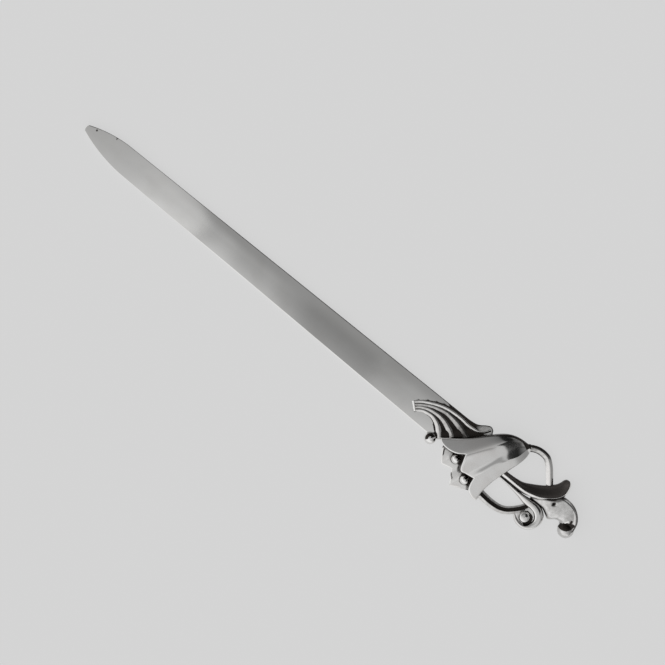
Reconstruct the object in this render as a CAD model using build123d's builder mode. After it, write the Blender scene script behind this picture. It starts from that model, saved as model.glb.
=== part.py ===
from build123d import *
import math
import os

# Silver letter opener with an openwork bellflower handle, in millimetres.
# X runs from the point to the handle, Z rises from the flat back the opener rests on.
# The origin is on the back, on the blade's centreline, at the fluted leaf's front corner.

# Blade
blade_length = 156.9
blade_front_width = 10.2
blade_root_width = 13.6
blade_thickness = 1.6
point_height = 0.3
point_radius = 1.85
upper_point_length = 20.6
lower_point_length = 24.9
face_bevel = 0.5
back_bevel = 0.3
root_low_x = 15.0
root_high_x = 30.5
tang_width = 6.0
tang_end_x = 36.0
tang_corner = 1.5
solder_gap = 0.04

# Blossom: a hollow bell of three petals on a flat back with two more petals
apex_x = 43.1
apex_y = 13.0
blossom_turn = 247.0
blossom_length = 27.0
neck_width = 1.9
shoulder_width = 13.2
shoulder_round = 3.1
mouth_width = 26.5
mouth_flare = 2.3
shoulder_lean = 2.0
axis_lean = 0.12
crown_rise = 7.0
neck_rise = 1.9
crown_round = 4.2
shell_wall = 0.8
hollow_start = 4.5
petal_overrun = 3.0
left_notch_depth = 5.0
right_notch_depth = 3.5
middle_petal_depth = 0.3
petal_bow = 2.1
petal_tip_round = 1.2
petal_corner_inset = 0.15
back_plate_inset = 0.15
back_edge_depth = 3.0
back_petal_round = 1.2
stamen_bead_diameter = 3.7
stamen_bead_post = 1.3
stamen_reach = 3.3

# The bell's creases as shares of its half width, and its section as shares of its rise
left_crease_apex = -0.60
left_crease_mouth = -0.33
right_crease_apex = 0.25
right_crease_mouth = 0.49
crease_level = 0.83
side_level = 0.63
side_bow = 0.16

# The back petals' corners: reach past the bell's mouth, place across it
back_petal_corners = ((1.2, -14.4), (4.3, -9.4), (1.8, -6.0), (5.3, -1.0), (0.2, 3.6))

# Fluted leaf on the blade, and the bead at its foot
rib_count = 4
rib_rise = 0.42
leaf_web = 0.5
leaf_stations = 13
leaf_lower_edge = ((2.9, -3.7), (4.6, -2.2), (7.6, -1.5), (10.4, -2.5), (12.4, -4.5), (16.2, -7.2))
leaf_upper_edge = ((0.0, -0.9), (3.5, 2.3), (9.5, 5.3), (16.5, 6.4), (23.0, 7.0), (26.9, 9.4), (30.2, 7.8))
shoulder_bead_diameter = 4.5
shoulder_bead_post = 2.2
shoulder_bead_clearance = 0.15
shoulder_bead_drop = 0.7

# Channel leaf
channel_height = 4.4
channel_rim = 0.45
channel_low_edge = 1.3
channel_root_y = -1.0
channel_root_width = 1.95
channel_bend_x = 45.8
channel_bend_radius = 23.5
channel_bend_angle = 51.0
channel_tip_round = 1.0
channel_waist_round = 3.0
channel_reach = 9.0
channel_dish = 0.6
channel_dish_at = 3.2
channel_inner_radius = 11.0
channel_inner_angle = 40.0
channel_root_x = 37.5

# The channel leaf's tip: distance and heading of its points from the end of the crest
tip_side = (3.7, 92)
tip_high = (5.35, 122)
tip_waist = (4.55, 161)

# Scroll strap with its rolled end and the bead in the roll
strap_height = 3.2
strap_root_x = 37.5
strap_root_y = -1.6
strap_root_width = 1.0
strap_waist_x = 47.0
strap_waist_width = 1.7
strap_sag = 0.2
strap_crown_back = 2.8
strap_crown_rise = 6.0
strap_shoulder_angle = 55
volute_x = 59.1
volute_y = -6.9
volute_radius = 5.0
roll_back = 1.1
roll_drop = 0.25
roll_radius = 3.05
roll_top_angle = 100
tail_angle = -152
roll_floor = 1.0
roll_lap = 0.3
eye_diameter = 3.8
eye_post = 1.3
eye_back = 0.1
eye_drop = 0.95
strap_bevel = 0.45

# Tendril
tendril_width = 2.9
tendril_height = 2.6
tendril_side = 0.9
tendril_root = (36.5, -11.0)
tendril_low = (44.5, -11.45)
tendril_end_back = 2.7
tendril_end_rise = 3.0

# Stem
stem_width = 2.4
stem_height = 2.5
stem_side = 1.2
stem_lift = 0.6
stem_crown_x = 50.1
stem_crown_y = 17.0
stem_bend = 7.0
stem_landing = 0.55
stem_bite = 1.5
stem_start = 2.0
stem_start_across = -0.3

# Bud and the ball at its hooked end
bud_ball_diameter = 6.2
bud_ball_x = 72.15
bud_ball_y = -2.0
bud_ball_post = 2.3
bud_steps = 2

# Flats that stand for one arc of a lofted skin, and for a round of the bud
arc_flats = 6
bud_flats = 20

os.makedirs("parts", exist_ok=True)


def flats(arc):
    return [arc @ (i / arc_flats) for i in range(1, arc_flats + 1)]


def polar(x, y, radius, degrees):
    angle = math.radians(degrees)
    return (x + radius * math.cos(angle), y + radius * math.sin(angle))


# Blade: lancet point, long taper and a tang inlaid in the blossom's back
def root_line_x(y):
    share = (y + blade_root_width / 2) / blade_root_width
    return root_low_x + share * (root_high_x - root_low_x)


root_points = [
    (root_low_x, -blade_root_width / 2),
    (root_line_x(-tang_width / 2), -tang_width / 2),
    (tang_end_x, -tang_width / 2),
    (tang_end_x, tang_width / 2),
    (root_line_x(tang_width / 2), tang_width / 2),
    (root_high_x, blade_root_width / 2),
]

with BuildPart() as blade:
    with BuildSketch() as blade_outline:
        with BuildLine():
            point = (-blade_length, point_height)
            upper_start = (upper_point_length - blade_length, blade_front_width / 2)
            lower_start = (lower_point_length - blade_length, -blade_front_width / 2)
            Polyline(lower_start, *root_points, upper_start)
            TangentArc(upper_start, point, tangent=(-1, 0))
            TangentArc(lower_start, point, tangent=(-1, 0))
        make_face()
        fillet(blade_outline.vertices().sort_by(Axis.X)[0], point_radius)
        fillet(blade_outline.vertices().sort_by(Axis.X)[-2:], tang_corner)
    extrude(amount=blade_thickness)
    face_edges = blade.edges().group_by(Axis.Z)[-1]
    chamfer([e for e in face_edges if e.center().X < 0], face_bevel)
    back_edges = blade.edges().group_by(Axis.Z)[0]
    chamfer([e for e in back_edges if e.center().X < 0], back_bevel)


# Blossom: its frame has x down the bell from the apex and y across it
blossom_frame = Plane(
    origin=(apex_x, apex_y, 0),
    x_dir=(math.cos(math.radians(blossom_turn)), math.sin(math.radians(blossom_turn)), 0),
    z_dir=(0, 0, 1),
)


def settle(along, length):
    return 1 - math.exp(-along / length)


def blossom_width(along):
    shoulder = neck_width + (shoulder_width - neck_width) * settle(along, shoulder_round)
    flare = (mouth_width - shoulder_width) * (along / blossom_length) ** mouth_flare
    return shoulder + flare


def blossom_centre(along):
    return -shoulder_lean * settle(along, shoulder_round) - axis_lean * along


def blossom_rise(along):
    return neck_rise + (crown_rise - neck_rise) * settle(along, crown_round)


def blossom_edge(along, side):
    return blossom_centre(along) + side * blossom_width(along) / 2


def crease_share(along, at_apex, at_mouth):
    return at_apex + (at_mouth - at_apex) * along / blossom_length


def left_crease_share(along):
    return crease_share(along, left_crease_apex, left_crease_mouth)


def right_crease_share(along):
    return crease_share(along, right_crease_apex, right_crease_mouth)


def blossom_section(along, inset):
    half = blossom_width(along) / 2 - inset
    rise = blossom_rise(along) - inset
    left_crease = half * left_crease_share(along)
    right_crease = half * right_crease_share(along)
    middle = (left_crease + right_crease) / 2
    left_bow = (left_crease - half) / 2 - side_bow * half
    right_bow = (right_crease + half) / 2 + side_bow * half
    centre = blossom_frame.from_local_coords((along, blossom_centre(along), blade_thickness))
    plane = Plane(origin=centre, x_dir=blossom_frame.y_dir, z_dir=blossom_frame.x_dir)
    left = (-half, -inset)
    right = (half, -inset)
    left_valley = (left_crease, crease_level * rise)
    right_valley = (right_crease, crease_level * rise)
    with BuildSketch(plane) as section:
        with BuildLine():
            arcs = (
                ThreePointArc(left, (left_bow, side_level * rise), left_valley, mode=Mode.PRIVATE),
                ThreePointArc(left_valley, (middle, rise), right_valley, mode=Mode.PRIVATE),
                ThreePointArc(right_valley, (right_bow, side_level * rise), right, mode=Mode.PRIVATE),
            )
            Polyline(left, *[point for arc in arcs for point in flats(arc)], close=True)
        make_face()
    return section.sketch


def stations(start, end, count):
    return [start + (end - start) * (i / count) ** 1.6 for i in range(count + 1)]


def petal_notch(depth, share_at):
    along = blossom_length - depth
    return (along, blossom_centre(along) + share_at(along) * blossom_width(along) / 2)


def petal_corner(side):
    return (blossom_length, blossom_edge(blossom_length, side) - side * petal_corner_inset)


def petal_bow_point(start, end):
    return ((start[0] + end[0]) / 2 + petal_bow, (start[1] + end[1]) / 2)


left_notch = petal_notch(left_notch_depth, left_crease_share)
right_notch = petal_notch(right_notch_depth, right_crease_share)
middle_petal_tip = (blossom_length - middle_petal_depth, (left_notch[1] + right_notch[1]) / 2)
form_end = blossom_length + petal_overrun

# The bell's solid form: pieces soldered to the bell are trimmed to it
with BuildPart() as blossom_form:
    loft(sections=[blossom_section(s, 0) for s in stations(0, form_end, 9)], ruled=True)

with BuildPart() as blossom_front:
    add(blossom_form.part)
    hollow_end = form_end + petal_overrun
    hollow = [blossom_section(s, shell_wall) for s in stations(hollow_start, hollow_end, 5)]
    loft(sections=hollow, ruled=True, mode=Mode.SUBTRACT)
    with BuildSketch(blossom_frame) as mouth:
        with BuildLine():
            far = blossom_length + mouth_width
            left_corner = petal_corner(-1)
            right_corner = petal_corner(1)
            ThreePointArc(left_corner, petal_bow_point(left_corner, left_notch), left_notch)
            Polyline(left_notch, middle_petal_tip, right_notch)
            ThreePointArc(right_notch, petal_bow_point(right_notch, right_corner), right_corner)
            Polyline(right_corner, (blossom_length, mouth_width), (far, mouth_width))
            Polyline((far, mouth_width), (far, -mouth_width), (blossom_length, -mouth_width), left_corner)
        make_face()
        fillet(mouth.vertices().sort_by_distance((*middle_petal_tip, 0))[0], petal_tip_round)
    extrude(amount=2 * (blade_thickness + crown_rise), mode=Mode.SUBTRACT)

with BuildPart() as blossom_back:
    with BuildSketch(blossom_frame) as back_outline:
        with BuildLine():
            rows = stations(0, blossom_length - back_edge_depth, 6)
            left_side = Spline(*[(s, blossom_edge(s, -1) + back_plate_inset) for s in rows])
            right_side = Spline(*[(s, blossom_edge(s, 1) - back_plate_inset) for s in rows])
            Line(left_side @ 0, right_side @ 0)
            petal_corners = [(blossom_length + reach, across) for reach, across in back_petal_corners]
            Polyline(left_side @ 1, *petal_corners, right_side @ 1)
        make_face()
        for tip in petal_corners[1::2]:
            fillet(back_outline.vertices().sort_by_distance((*tip, 0))[0], back_petal_round)
    extrude(amount=blade_thickness)
    with BuildSketch() as tang_notch:
        with BuildLine():
            Polyline(*root_points, (0, blade_root_width / 2), (0, -blade_root_width / 2), close=True)
        make_face()
        offset(amount=solder_gap, kind=Kind.INTERSECTION)
        corners = tang_notch.vertices().sort_by(Axis.X)[-2:]
        fillet(corners, tang_corner + solder_gap)
    extrude(amount=blade_thickness, mode=Mode.SUBTRACT)


# Beads: domes on short posts
def domed_bead(spot, diameter, post):
    radius = diameter / 2
    with BuildPart() as bead:
        with BuildSketch(Plane(origin=spot, x_dir=(1, 0, 0), z_dir=(0, -1, 0))):
            with BuildLine():
                Polyline((0, post + radius), (0, 0), (radius, 0), (radius, post))
                RadiusArc((radius, post), (0, post + radius), -radius)
            make_face()
        revolve(axis=Axis(spot, (0, 0, 1)))
    return bead


def stamen_bead(notch):
    spot = blossom_frame.from_local_coords((notch[0] + stamen_reach, notch[1], blade_thickness))
    return domed_bead(spot, stamen_bead_diameter, stamen_bead_post)


upper_stamen_bead = stamen_bead(left_notch)
lower_stamen_bead = stamen_bead(right_notch)


# Fluted leaf: a fan of ribs lofted along its two edges, from its cut end to the blossom
lower_edge = Spline(*leaf_lower_edge)
upper_edge = Spline(*leaf_upper_edge)


def fan_section(share):
    inner = lower_edge @ share
    reach = upper_edge @ share - inner
    pitch = reach.length / rib_count
    plane = Plane(
        origin=(inner.X, inner.Y, blade_thickness),
        x_dir=(reach.X, reach.Y, 0),
        z_dir=(reach.Y, -reach.X, 0),
    )
    with BuildSketch(plane) as section:
        with BuildLine():
            points = [(0, 0), (0, leaf_web)]
            for i in range(rib_count):
                crest = ((i + 0.5) * pitch, leaf_web + rib_rise * pitch)
                ends = ((i * pitch, leaf_web), ((i + 1) * pitch, leaf_web))
                points += flats(ThreePointArc(ends[0], crest, ends[1], mode=Mode.PRIVATE))
            Polyline(*points, (reach.length, 0), close=True)
        make_face()
    return section.sketch


with BuildPart() as fluted_leaf:
    loft(sections=[fan_section(i / leaf_stations) for i in range(leaf_stations + 1)], ruled=True)
    add(blossom_form.part, mode=Mode.SUBTRACT)

petal_end = blossom_frame.from_local_coords(petal_corner(-1))
bead_x = petal_end.X - shoulder_bead_diameter / 2 - shoulder_bead_clearance
bead_y = -blade_root_width / 2 - shoulder_bead_drop
bead_form = domed_bead((bead_x, bead_y, 0), shoulder_bead_diameter, shoulder_bead_post)

with BuildPart() as shoulder_bead:
    add(bead_form.part)
    add(blade.part, mode=Mode.SUBTRACT)
    add(fluted_leaf.part, mode=Mode.SUBTRACT)


# Channel leaf: a curved leaf with a crest along its lower edge and a hollow face behind it
bend_centre = (channel_bend_x, channel_root_y + channel_bend_radius)
bend_start = (channel_bend_x, channel_root_y)
rim_end = polar(*bend_centre, channel_bend_radius, channel_bend_angle - 90)
upper_bend = (channel_bend_x, channel_root_y + channel_root_width)
inner_centre = (channel_bend_x, upper_bend[1] + channel_inner_radius)
inner_end = polar(*inner_centre, channel_inner_radius, channel_inner_angle - 90)
root_low = (channel_root_x, channel_root_y)
root_high = (channel_root_x, upper_bend[1])
tip_point = polar(*rim_end, *tip_high)
waist_point = polar(*rim_end, *tip_waist)

with BuildSketch() as channel_outline:
    with BuildLine():
        Line(root_low, bend_start)
        TangentArc(bend_start, rim_end, tangent=(1, 0))
        ThreePointArc(rim_end, polar(*rim_end, *tip_side), tip_point)
        Polyline(tip_point, waist_point, inner_end)
        TangentArc(upper_bend, inner_end, tangent=(1, 0))
        Polyline(upper_bend, root_high, root_low)
    make_face()
    fillet(channel_outline.vertices().sort_by_distance(tip_point)[0], channel_tip_round)
    fillet(channel_outline.vertices().sort_by_distance(waist_point)[0], channel_waist_round)

with BuildPart() as channel_leaf:
    extrude(channel_outline.sketch, amount=channel_height)
    with BuildLine() as crest_line:
        Line(root_low, bend_start)
        crest = TangentArc(bend_start, rim_end, tangent=(1, 0))
        Line(crest @ 1, crest @ 1 + channel_reach * (crest % 1))
    with BuildSketch(Plane(origin=root_low, x_dir=(0, 1, 0), z_dir=(1, 0, 0))):
        with BuildLine():
            start = (channel_rim, channel_height)
            finish = (channel_reach, channel_low_edge)
            half_height = (channel_height + channel_low_edge) / 2
            ThreePointArc(start, (channel_dish_at, half_height - channel_dish), finish)
            above = channel_height + 1
            Polyline(finish, (channel_reach, above), (channel_rim, above), start)
        make_face()
    sweep(path=crest_line.line, mode=Mode.SUBTRACT)
    add(blossom_form.part, mode=Mode.SUBTRACT)
    add(blossom_back.part, mode=Mode.SUBTRACT)


# Scroll strap: it leaves the blossom as a thin strip and rolls up around a bead
root_top = (strap_root_x, strap_root_y)
root_bottom = (strap_root_x, strap_root_y - strap_root_width)
waist_top = (strap_waist_x, strap_root_y - strap_sag)
waist_bottom = (strap_waist_x, strap_root_y - strap_sag - strap_waist_width)
strap_crown = (volute_x - strap_crown_back, volute_y + strap_crown_rise)
volute = (volute_x, volute_y, volute_radius)
roll = (volute_x - roll_back, volute_y - roll_drop, roll_radius)
fall = polar(0, 0, 1, strap_shoulder_angle - 90)
volute_start = polar(*volute, strap_shoulder_angle)
volute_middle = polar(*volute, (strap_shoulder_angle + tail_angle) / 2)
tail_out = polar(*volute, tail_angle)
tail_in = polar(*roll, tail_angle)
roll_middle = polar(*roll, (roll_top_angle + tail_angle) / 2)
roll_top = polar(*roll, roll_top_angle)

with BuildSketch() as strap_outline:
    with BuildLine():
        Line(root_top, waist_top)
        Spline(waist_top, strap_crown, volute_start, tangents=((1, 0), fall))
        ThreePointArc(volute_start, volute_middle, tail_out)
        Line(tail_out, tail_in)
        ThreePointArc(tail_in, roll_middle, roll_top)
        Polyline(roll_top, waist_bottom, root_bottom, root_top)
    make_face()

with BuildPart() as scroll_strap:
    extrude(strap_outline.sketch, amount=strap_height)
    chamfer(scroll_strap.edges().group_by(Axis.Z)[-1], strap_bevel)
    with BuildSketch():
        with Locations(roll[:2]):
            Circle(roll_radius + roll_lap)
    extrude(amount=roll_floor)
    add(blossom_form.part, mode=Mode.SUBTRACT)
    add(blossom_back.part, mode=Mode.SUBTRACT)

scroll_eye = domed_bead((roll[0] - eye_back, roll[1] - eye_drop, roll_floor), eye_diameter, eye_post)


# Wires with a crest along the middle of their faces
def crested_section(path, width, side, height):
    half = width / 2
    with BuildSketch(Plane(path @ 0, x_dir=(0, 0, 1), z_dir=path % 0)) as section:
        with BuildLine():
            Polyline((side, -half), (0, -half), (0, half), (side, half), (height, 0), close=True)
        make_face()
    return section.sketch


# Tendril: from the lower petal to the underside of the strap
with BuildPart() as tendril:
    with BuildLine() as tendril_path:
        tendril_end = (volute_x - tendril_end_back, volute_y + tendril_end_rise)
        TangentArc(tendril_low, tendril_root, tangent=(-1, 0))
        TangentArc(tendril_low, tendril_end, tangent=(1, 0))
    wire = crested_section(tendril_path.line, tendril_width, tendril_side, tendril_height)
    sweep(wire, path=tendril_path.line)
    add(blossom_form.part, mode=Mode.SUBTRACT)
    add(blossom_back.part, mode=Mode.SUBTRACT)
    add(scroll_strap.part, mode=Mode.SUBTRACT)


# Stem: a loop from the bell's neck over to the channel leaf
with BuildPart() as stem:
    with BuildLine(Plane.XY.offset(stem_lift)) as stem_path:
        neck = blossom_frame.from_local_coords((stem_start, stem_start_across, 0))
        edge_run = Vector(*waist_point) - Vector(*inner_end)
        edge_point = Vector(*inner_end) + edge_run * stem_landing
        landing = edge_point + Vector(stem_bite, 0).rotate(Axis.Z, channel_inner_angle - 90)
        stem_points = [(neck.X, neck.Y), (stem_crown_x, stem_crown_y), (landing.X, landing.Y)]
        FilletPolyline(*stem_points, radius=stem_bend)
    wire = crested_section(stem_path.line, stem_width, stem_side, stem_height)
    sweep(wire, path=stem_path.line)
    add(blossom_form.part, mode=Mode.SUBTRACT)
    add(blossom_back.part, mode=Mode.SUBTRACT)
    extrude(channel_outline.sketch, amount=2 * channel_height, mode=Mode.SUBTRACT)


# Bud: a domed leaf growing from between channel leaf and strap, ending in a ball
# Each row of its path: place, heading, width and height of one rounded section
bud_path = (
    (54.5, -0.4, 8, 2.4, 2.0),
    (59.6, 0.6, 8, 7.0, 4.0),
    (64.4, 1.8, 4, 9.9, 5.8),
    (68.2, 2.4, -20, 8.6, 6.0),
    (71.0, 0.9, -54, 7.0, 5.6),
    (bud_ball_x + 0.25, bud_ball_y + 0.3, -80, 5.0, 4.6),
)


def bud_row(at):
    start = min(int(at), len(bud_path) - 2)
    share = at - start
    last = len(bud_path) - 1
    before, first, second, after = (bud_path[min(max(start + k, 0), last)] for k in (-1, 0, 1, 2))
    weights = (
        share * (share * (2 - share) - 1) / 2,
        (share * share * (3 * share - 5) + 2) / 2,
        share * ((4 - 3 * share) * share + 1) / 2,
        share * share * (share - 1) / 2,
    )
    return [sum(w * v for w, v in zip(weights, values)) for values in zip(before, first, second, after)]


def bud_section(x, y, heading, width, height):
    angle = math.radians(heading)
    plane = Plane(
        origin=(x, y, height / 2),
        x_dir=(-math.sin(angle), math.cos(angle), 0),
        z_dir=(math.cos(angle), math.sin(angle), 0),
    )
    with BuildSketch(plane) as section:
        with BuildLine():
            turns = [2 * math.pi * i / bud_flats for i in range(bud_flats)]
            Polyline(*[(width / 2 * math.cos(a), height / 2 * math.sin(a)) for a in turns], close=True)
        make_face()
    return section.sketch


bud_ball = domed_bead((bud_ball_x, bud_ball_y, 0), bud_ball_diameter, bud_ball_post)

with BuildPart() as bud:
    steps = bud_steps * (len(bud_path) - 1)
    loft(sections=[bud_section(*bud_row(i / bud_steps)) for i in range(steps + 1)], ruled=True)
    extrude(channel_outline.sketch, amount=2 * channel_height, mode=Mode.SUBTRACT)
    extrude(strap_outline.sketch, amount=2 * channel_height, mode=Mode.SUBTRACT)
    add(bud_ball.part, mode=Mode.SUBTRACT)


pieces = {
    "blade": blade,
    "fluted_leaf": fluted_leaf,
    "shoulder_bead": shoulder_bead,
    "blossom_front": blossom_front,
    "blossom_back": blossom_back,
    "upper_stamen_bead": upper_stamen_bead,
    "lower_stamen_bead": lower_stamen_bead,
    "stem": stem,
    "channel_leaf": channel_leaf,
    "scroll_strap": scroll_strap,
    "scroll_eye": scroll_eye,
    "tendril": tendril,
    "bud": bud,
    "bud_ball": bud_ball,
}

for name, piece in pieces.items():
    piece.part.label = name
    export_step(piece.part, f"parts/{name}.step")
    print(name, len(piece.part.solids()), round(piece.part.volume, 1))
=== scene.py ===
# %% [markdown]
# # A silver letter opener with a bellflower handle
# The opener lies face up on a pale table. Its CAD solids are the fixed frame: every piece below takes
# the place of one solid, in the same coordinates, with the smooth skin and the finish of real silver.

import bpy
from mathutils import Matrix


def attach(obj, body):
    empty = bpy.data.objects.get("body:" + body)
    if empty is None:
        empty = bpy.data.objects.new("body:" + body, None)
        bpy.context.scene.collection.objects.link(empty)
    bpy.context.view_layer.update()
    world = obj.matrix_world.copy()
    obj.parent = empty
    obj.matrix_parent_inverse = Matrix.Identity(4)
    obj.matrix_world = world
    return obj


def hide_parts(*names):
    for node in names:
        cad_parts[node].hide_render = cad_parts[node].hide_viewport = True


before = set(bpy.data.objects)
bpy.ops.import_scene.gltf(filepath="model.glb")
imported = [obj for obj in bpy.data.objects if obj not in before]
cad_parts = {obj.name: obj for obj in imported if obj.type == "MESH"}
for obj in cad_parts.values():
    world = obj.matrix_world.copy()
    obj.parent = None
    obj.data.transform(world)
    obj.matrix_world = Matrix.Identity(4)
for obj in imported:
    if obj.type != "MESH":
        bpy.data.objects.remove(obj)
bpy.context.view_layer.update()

# %% The tools of the lesson
import math

import bmesh
import bpy
import numpy as np
from mathutils import Vector
from mathutils.bvhtree import BVHTree
from mathutils.kdtree import KDTree

MM = 0.001
TINY = 1e-9
print("Blender", bpy.app.version_string)

# %% [markdown]
# ## Camera
# The photograph looks straight down on the opener, which lies across the frame from upper left to
# lower right. A short lens close by would frame it too, but a long one from a metre away keeps the
# raised flower from leaning outwards. The camera is turned and the opener isn't, so that every piece
# stays in the frame's own coordinates.

# %% Camera straight above, turned to the opener's slant
def place_object(name, data):
    """An object for some data, linked to the scene."""
    holder = bpy.data.objects.new(name, data)
    bpy.context.scene.collection.objects.link(holder)
    return holder


FRAME_WIDTH = 240.75
SENSOR_WIDTH = 36.0
CAMERA_HEIGHT = 1000.0
CAMERA_PLACE = (-38.27, -0.43, CAMERA_HEIGHT + 1.6)
CAMERA_TURN = 39.4325
camera_data = bpy.data.cameras.new("camera")
camera_data.sensor_width = SENSOR_WIDTH
camera_data.lens = SENSOR_WIDTH * CAMERA_HEIGHT / FRAME_WIDTH
camera_data.clip_start = 0.05
camera_data.clip_end = 20.0
camera = place_object("camera", camera_data)
camera.location = [v * MM for v in CAMERA_PLACE]
camera.rotation_euler = (0, 0, math.radians(CAMERA_TURN))
bpy.context.scene.camera = camera
bpy.context.scene.view_settings.view_transform = "Standard"
print("lens", round(camera_data.lens, 1), "mm")

# %% [markdown]
# ## Table and light
# Polished silver is a mirror, so its tones are those of the room around it. Lamps could light it, but
# they show as hard spots, so the sky itself is painted, with ramps over the direction. Overhead, where
# the flat blade looks, it is graded along the blade and across it. Further out, where the handle's
# curves look, a light tent fills the lower side and a dark room opens on the upper side. The height of
# the room's edge depends on the direction: that edge draws the black cap on the bell.

# %% A small kit for node trees, and the sky's empty tree
def feed(tree, inputs, feeds):
    """Feeds inputs, by name or number: a socket is linked to them, a plain value is set."""
    for key, value in feeds.items():
        if isinstance(value, bpy.types.NodeSocket):
            tree.links.new(value, inputs[key])
        else:
            inputs[key].default_value = value


def add_node(tree, kind, feeds=None, **settings):
    """A new node with these settings and inputs."""
    node = tree.nodes.new(kind)
    for key, value in settings.items():
        setattr(node, key, value)
    feed(tree, node.inputs, feeds or {})
    return node


def node_out(tree, kind, feeds=None, **settings):
    """The first output of a new node."""
    return add_node(tree, kind, feeds, **settings).outputs[0]


def math_node(tree, operation, *values):
    """A calculation with sockets or numbers; returns its result."""
    return node_out(tree, "ShaderNodeMath", dict(enumerate(values)), operation=operation)


def mix_node(tree, kind, factor, a, b, blend_type="MIX"):
    """A mix of two colours, vectors or numbers; returns its result."""
    feeds = {"Factor": factor, "A": a, "B": b}
    return add_node(tree, "ShaderNodeMix", feeds, data_type=kind, blend_type=blend_type).outputs["Result"]


def soft_step(tree, value, low, high):
    """0 at low, 1 at high, smooth between."""
    feeds = {0: value, 1: low, 2: high}
    return node_out(tree, "ShaderNodeMapRange", feeds, interpolation_type="SMOOTHSTEP")


def grey(value):
    """A grey as a colour with full alpha."""
    return (value, value, value, 1)


world = bpy.data.worlds.new("tent")
bpy.context.scene.world = world
world.use_nodes = True
sky = world.node_tree
sky.nodes.clear()
print("world", world.name, "with", len(sky.nodes), "nodes")

# %% Sky overhead: graded along the blade and across it
SKY_GAIN = 2.4
ALONG_GAIN = 1.19
UPPER_EDGE_TONE = 0.31
NEAR_RANGE = 15.0
looking = add_node(sky, "ShaderNodeTexCoord").outputs["Generated"]
sky_x, sky_y, sky_z = add_node(sky, "ShaderNodeSeparateXYZ", {0: looking}).outputs


def slant(level):
    """Degrees from the zenith towards one level axis."""
    return math_node(sky, "DEGREES", math_node(sky, "ARCTAN2", level, sky_z))


def multiply_colours(a, b):
    """One tone dimmed by another."""
    return mix_node(sky, "RGBA", 1.0, a, b, "MULTIPLY")


def degree_ramp(degrees, reach, scale, stops):
    """A grey ramp from -reach to reach degrees through (degrees, value) stops, the values scaled."""
    share = math_node(sky, "MULTIPLY_ADD", degrees, 0.5 / reach, 0.5)
    node = add_node(sky, "ShaderNodeValToRGB", {0: share})
    elements = node.color_ramp.elements
    while len(elements) < len(stops):
        elements.new(0.5)
    for element, (at, value) in zip(elements, stops):
        element.position = 0.5 + 0.5 * at / reach
        element.color = grey(value * scale)
    return node.outputs[0]


along = slant(sky_x)
lean = slant(sky_y)
along_tone = degree_ramp(along, NEAR_RANGE, ALONG_GAIN, (
    (-15, 0.36), (-6.3, 0.39), (-5.3, 0.41), (-4.6, 0.48), (-3.55, 0.50), (-3.25, 0.325), (-2.95, 0.39),
    (-2.7, 0.375), (-2.5, 0.325), (-1.6, 0.335), (-0.6, 0.225), (1.0, 0.22), (1.3, 0.29), (2.0, 0.34),
    (4.0, 0.46), (8.0, 0.48), (15, 0.47)))
lean_tone = degree_ramp(lean, NEAR_RANGE, 1 / SKY_GAIN, (
    (-15, 1.75), (-8, 1.45), (-5, 1.24), (-2.5, 1.09), (0, 1.0), (4, 0.97), (15, 0.9)))
edge_share = math_node(sky, "MULTIPLY_ADD", soft_step(sky, along, -3.7, -3.2), 0.65, 0.35)
upper_edge = math_node(sky, "MULTIPLY", soft_step(sky, lean, 0.8, 5.5), edge_share)
near_tone = mix_node(sky, "RGBA", upper_edge, multiply_colours(along_tone, lean_tone),
                     grey(UPPER_EDGE_TONE / SKY_GAIN))
print("sky nodes:", len(sky.nodes))

# %% Sky further out: bright on the lower side, a dark room on the upper side
def turned(a, b):
    """sky_x * a + sky_y * b: the direction's share along one level axis of the tent."""
    return math_node(sky, "MULTIPLY_ADD", sky_x, a, math_node(sky, "MULTIPLY", sky_y, b))


PALE = 0.6516
LOWER_LEFT_TONE = 0.53
HORIZON_TONE = 0.1
EDGE_SCALE = 0.01
TENT_TURN = math.radians(-23)
FAR_RANGE = 90.0
side = slant(turned(math.cos(TENT_TURN), math.sin(TENT_TURN)))
rise = slant(turned(-math.sin(TENT_TURN), math.cos(TENT_TURN)))
room_edge = degree_ramp(side, FAR_RANGE, EDGE_SCALE, (
    (-90, 92), (-62, 80), (-50, 37), (-22, 35), (-14, 22), (-8, 15), (0, 17), (9, 21), (14, 21), (17, 34),
    (21, 54), (27, 70), (34, 92), (90, 92)))
into_room = math_node(sky, "MULTIPLY_ADD", room_edge, -1 / EDGE_SCALE, rise)
side_tone = degree_ramp(side, FAR_RANGE, 1.0, (
    (-90, 0.55), (-68, 0.45), (-56, 0.2), (-46, 0.22), (-36, 0.28), (-25, 0.38), (-8, 0.5), (4, 0.55),
    (15, 0.565), (30, 0.585), (45, 0.5), (65, 0.55), (90, 0.62)))
rise_tone = degree_ramp(rise, FAR_RANGE, 1 / SKY_GAIN, (
    (-90, 1.5), (-70, 1.8), (-45, 1.75), (-25, 1.45), (-8, 1.08), (0, 1.0), (20, 0.95), (33, 0.65),
    (60, 0.55), (90, 0.5)))
room_tone = degree_ramp(into_room, FAR_RANGE, 1.0, (
    (-90, 1.0), (-1.5, 1.0), (1.5, 0.075), (26, 0.055), (42, 0.4), (60, 0.75), (75, 0.8)))
sides = mix_node(sky, "RGBA", soft_step(sky, rise, -45, -22), grey(LOWER_LEFT_TONE), side_tone)
room = multiply_colours(multiply_colours(sides, rise_tone), room_tone)
away = math_node(sky, "DEGREES", math_node(sky, "ARCCOSINE", sky_z))
horizon = math_node(sky, "MULTIPLY", soft_step(sky, away, 58, 70), HORIZON_TONE / SKY_GAIN)
far_tone = mix_node(sky, "RGBA", 1.0, room, horizon, "LIGHTEN")
tent_tone = mix_node(sky, "RGBA", soft_step(sky, away, 9.5, 13), near_tone, far_tone)
tent = node_out(sky, "ShaderNodeBackground", {"Color": tent_tone, "Strength": SKY_GAIN})
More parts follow.
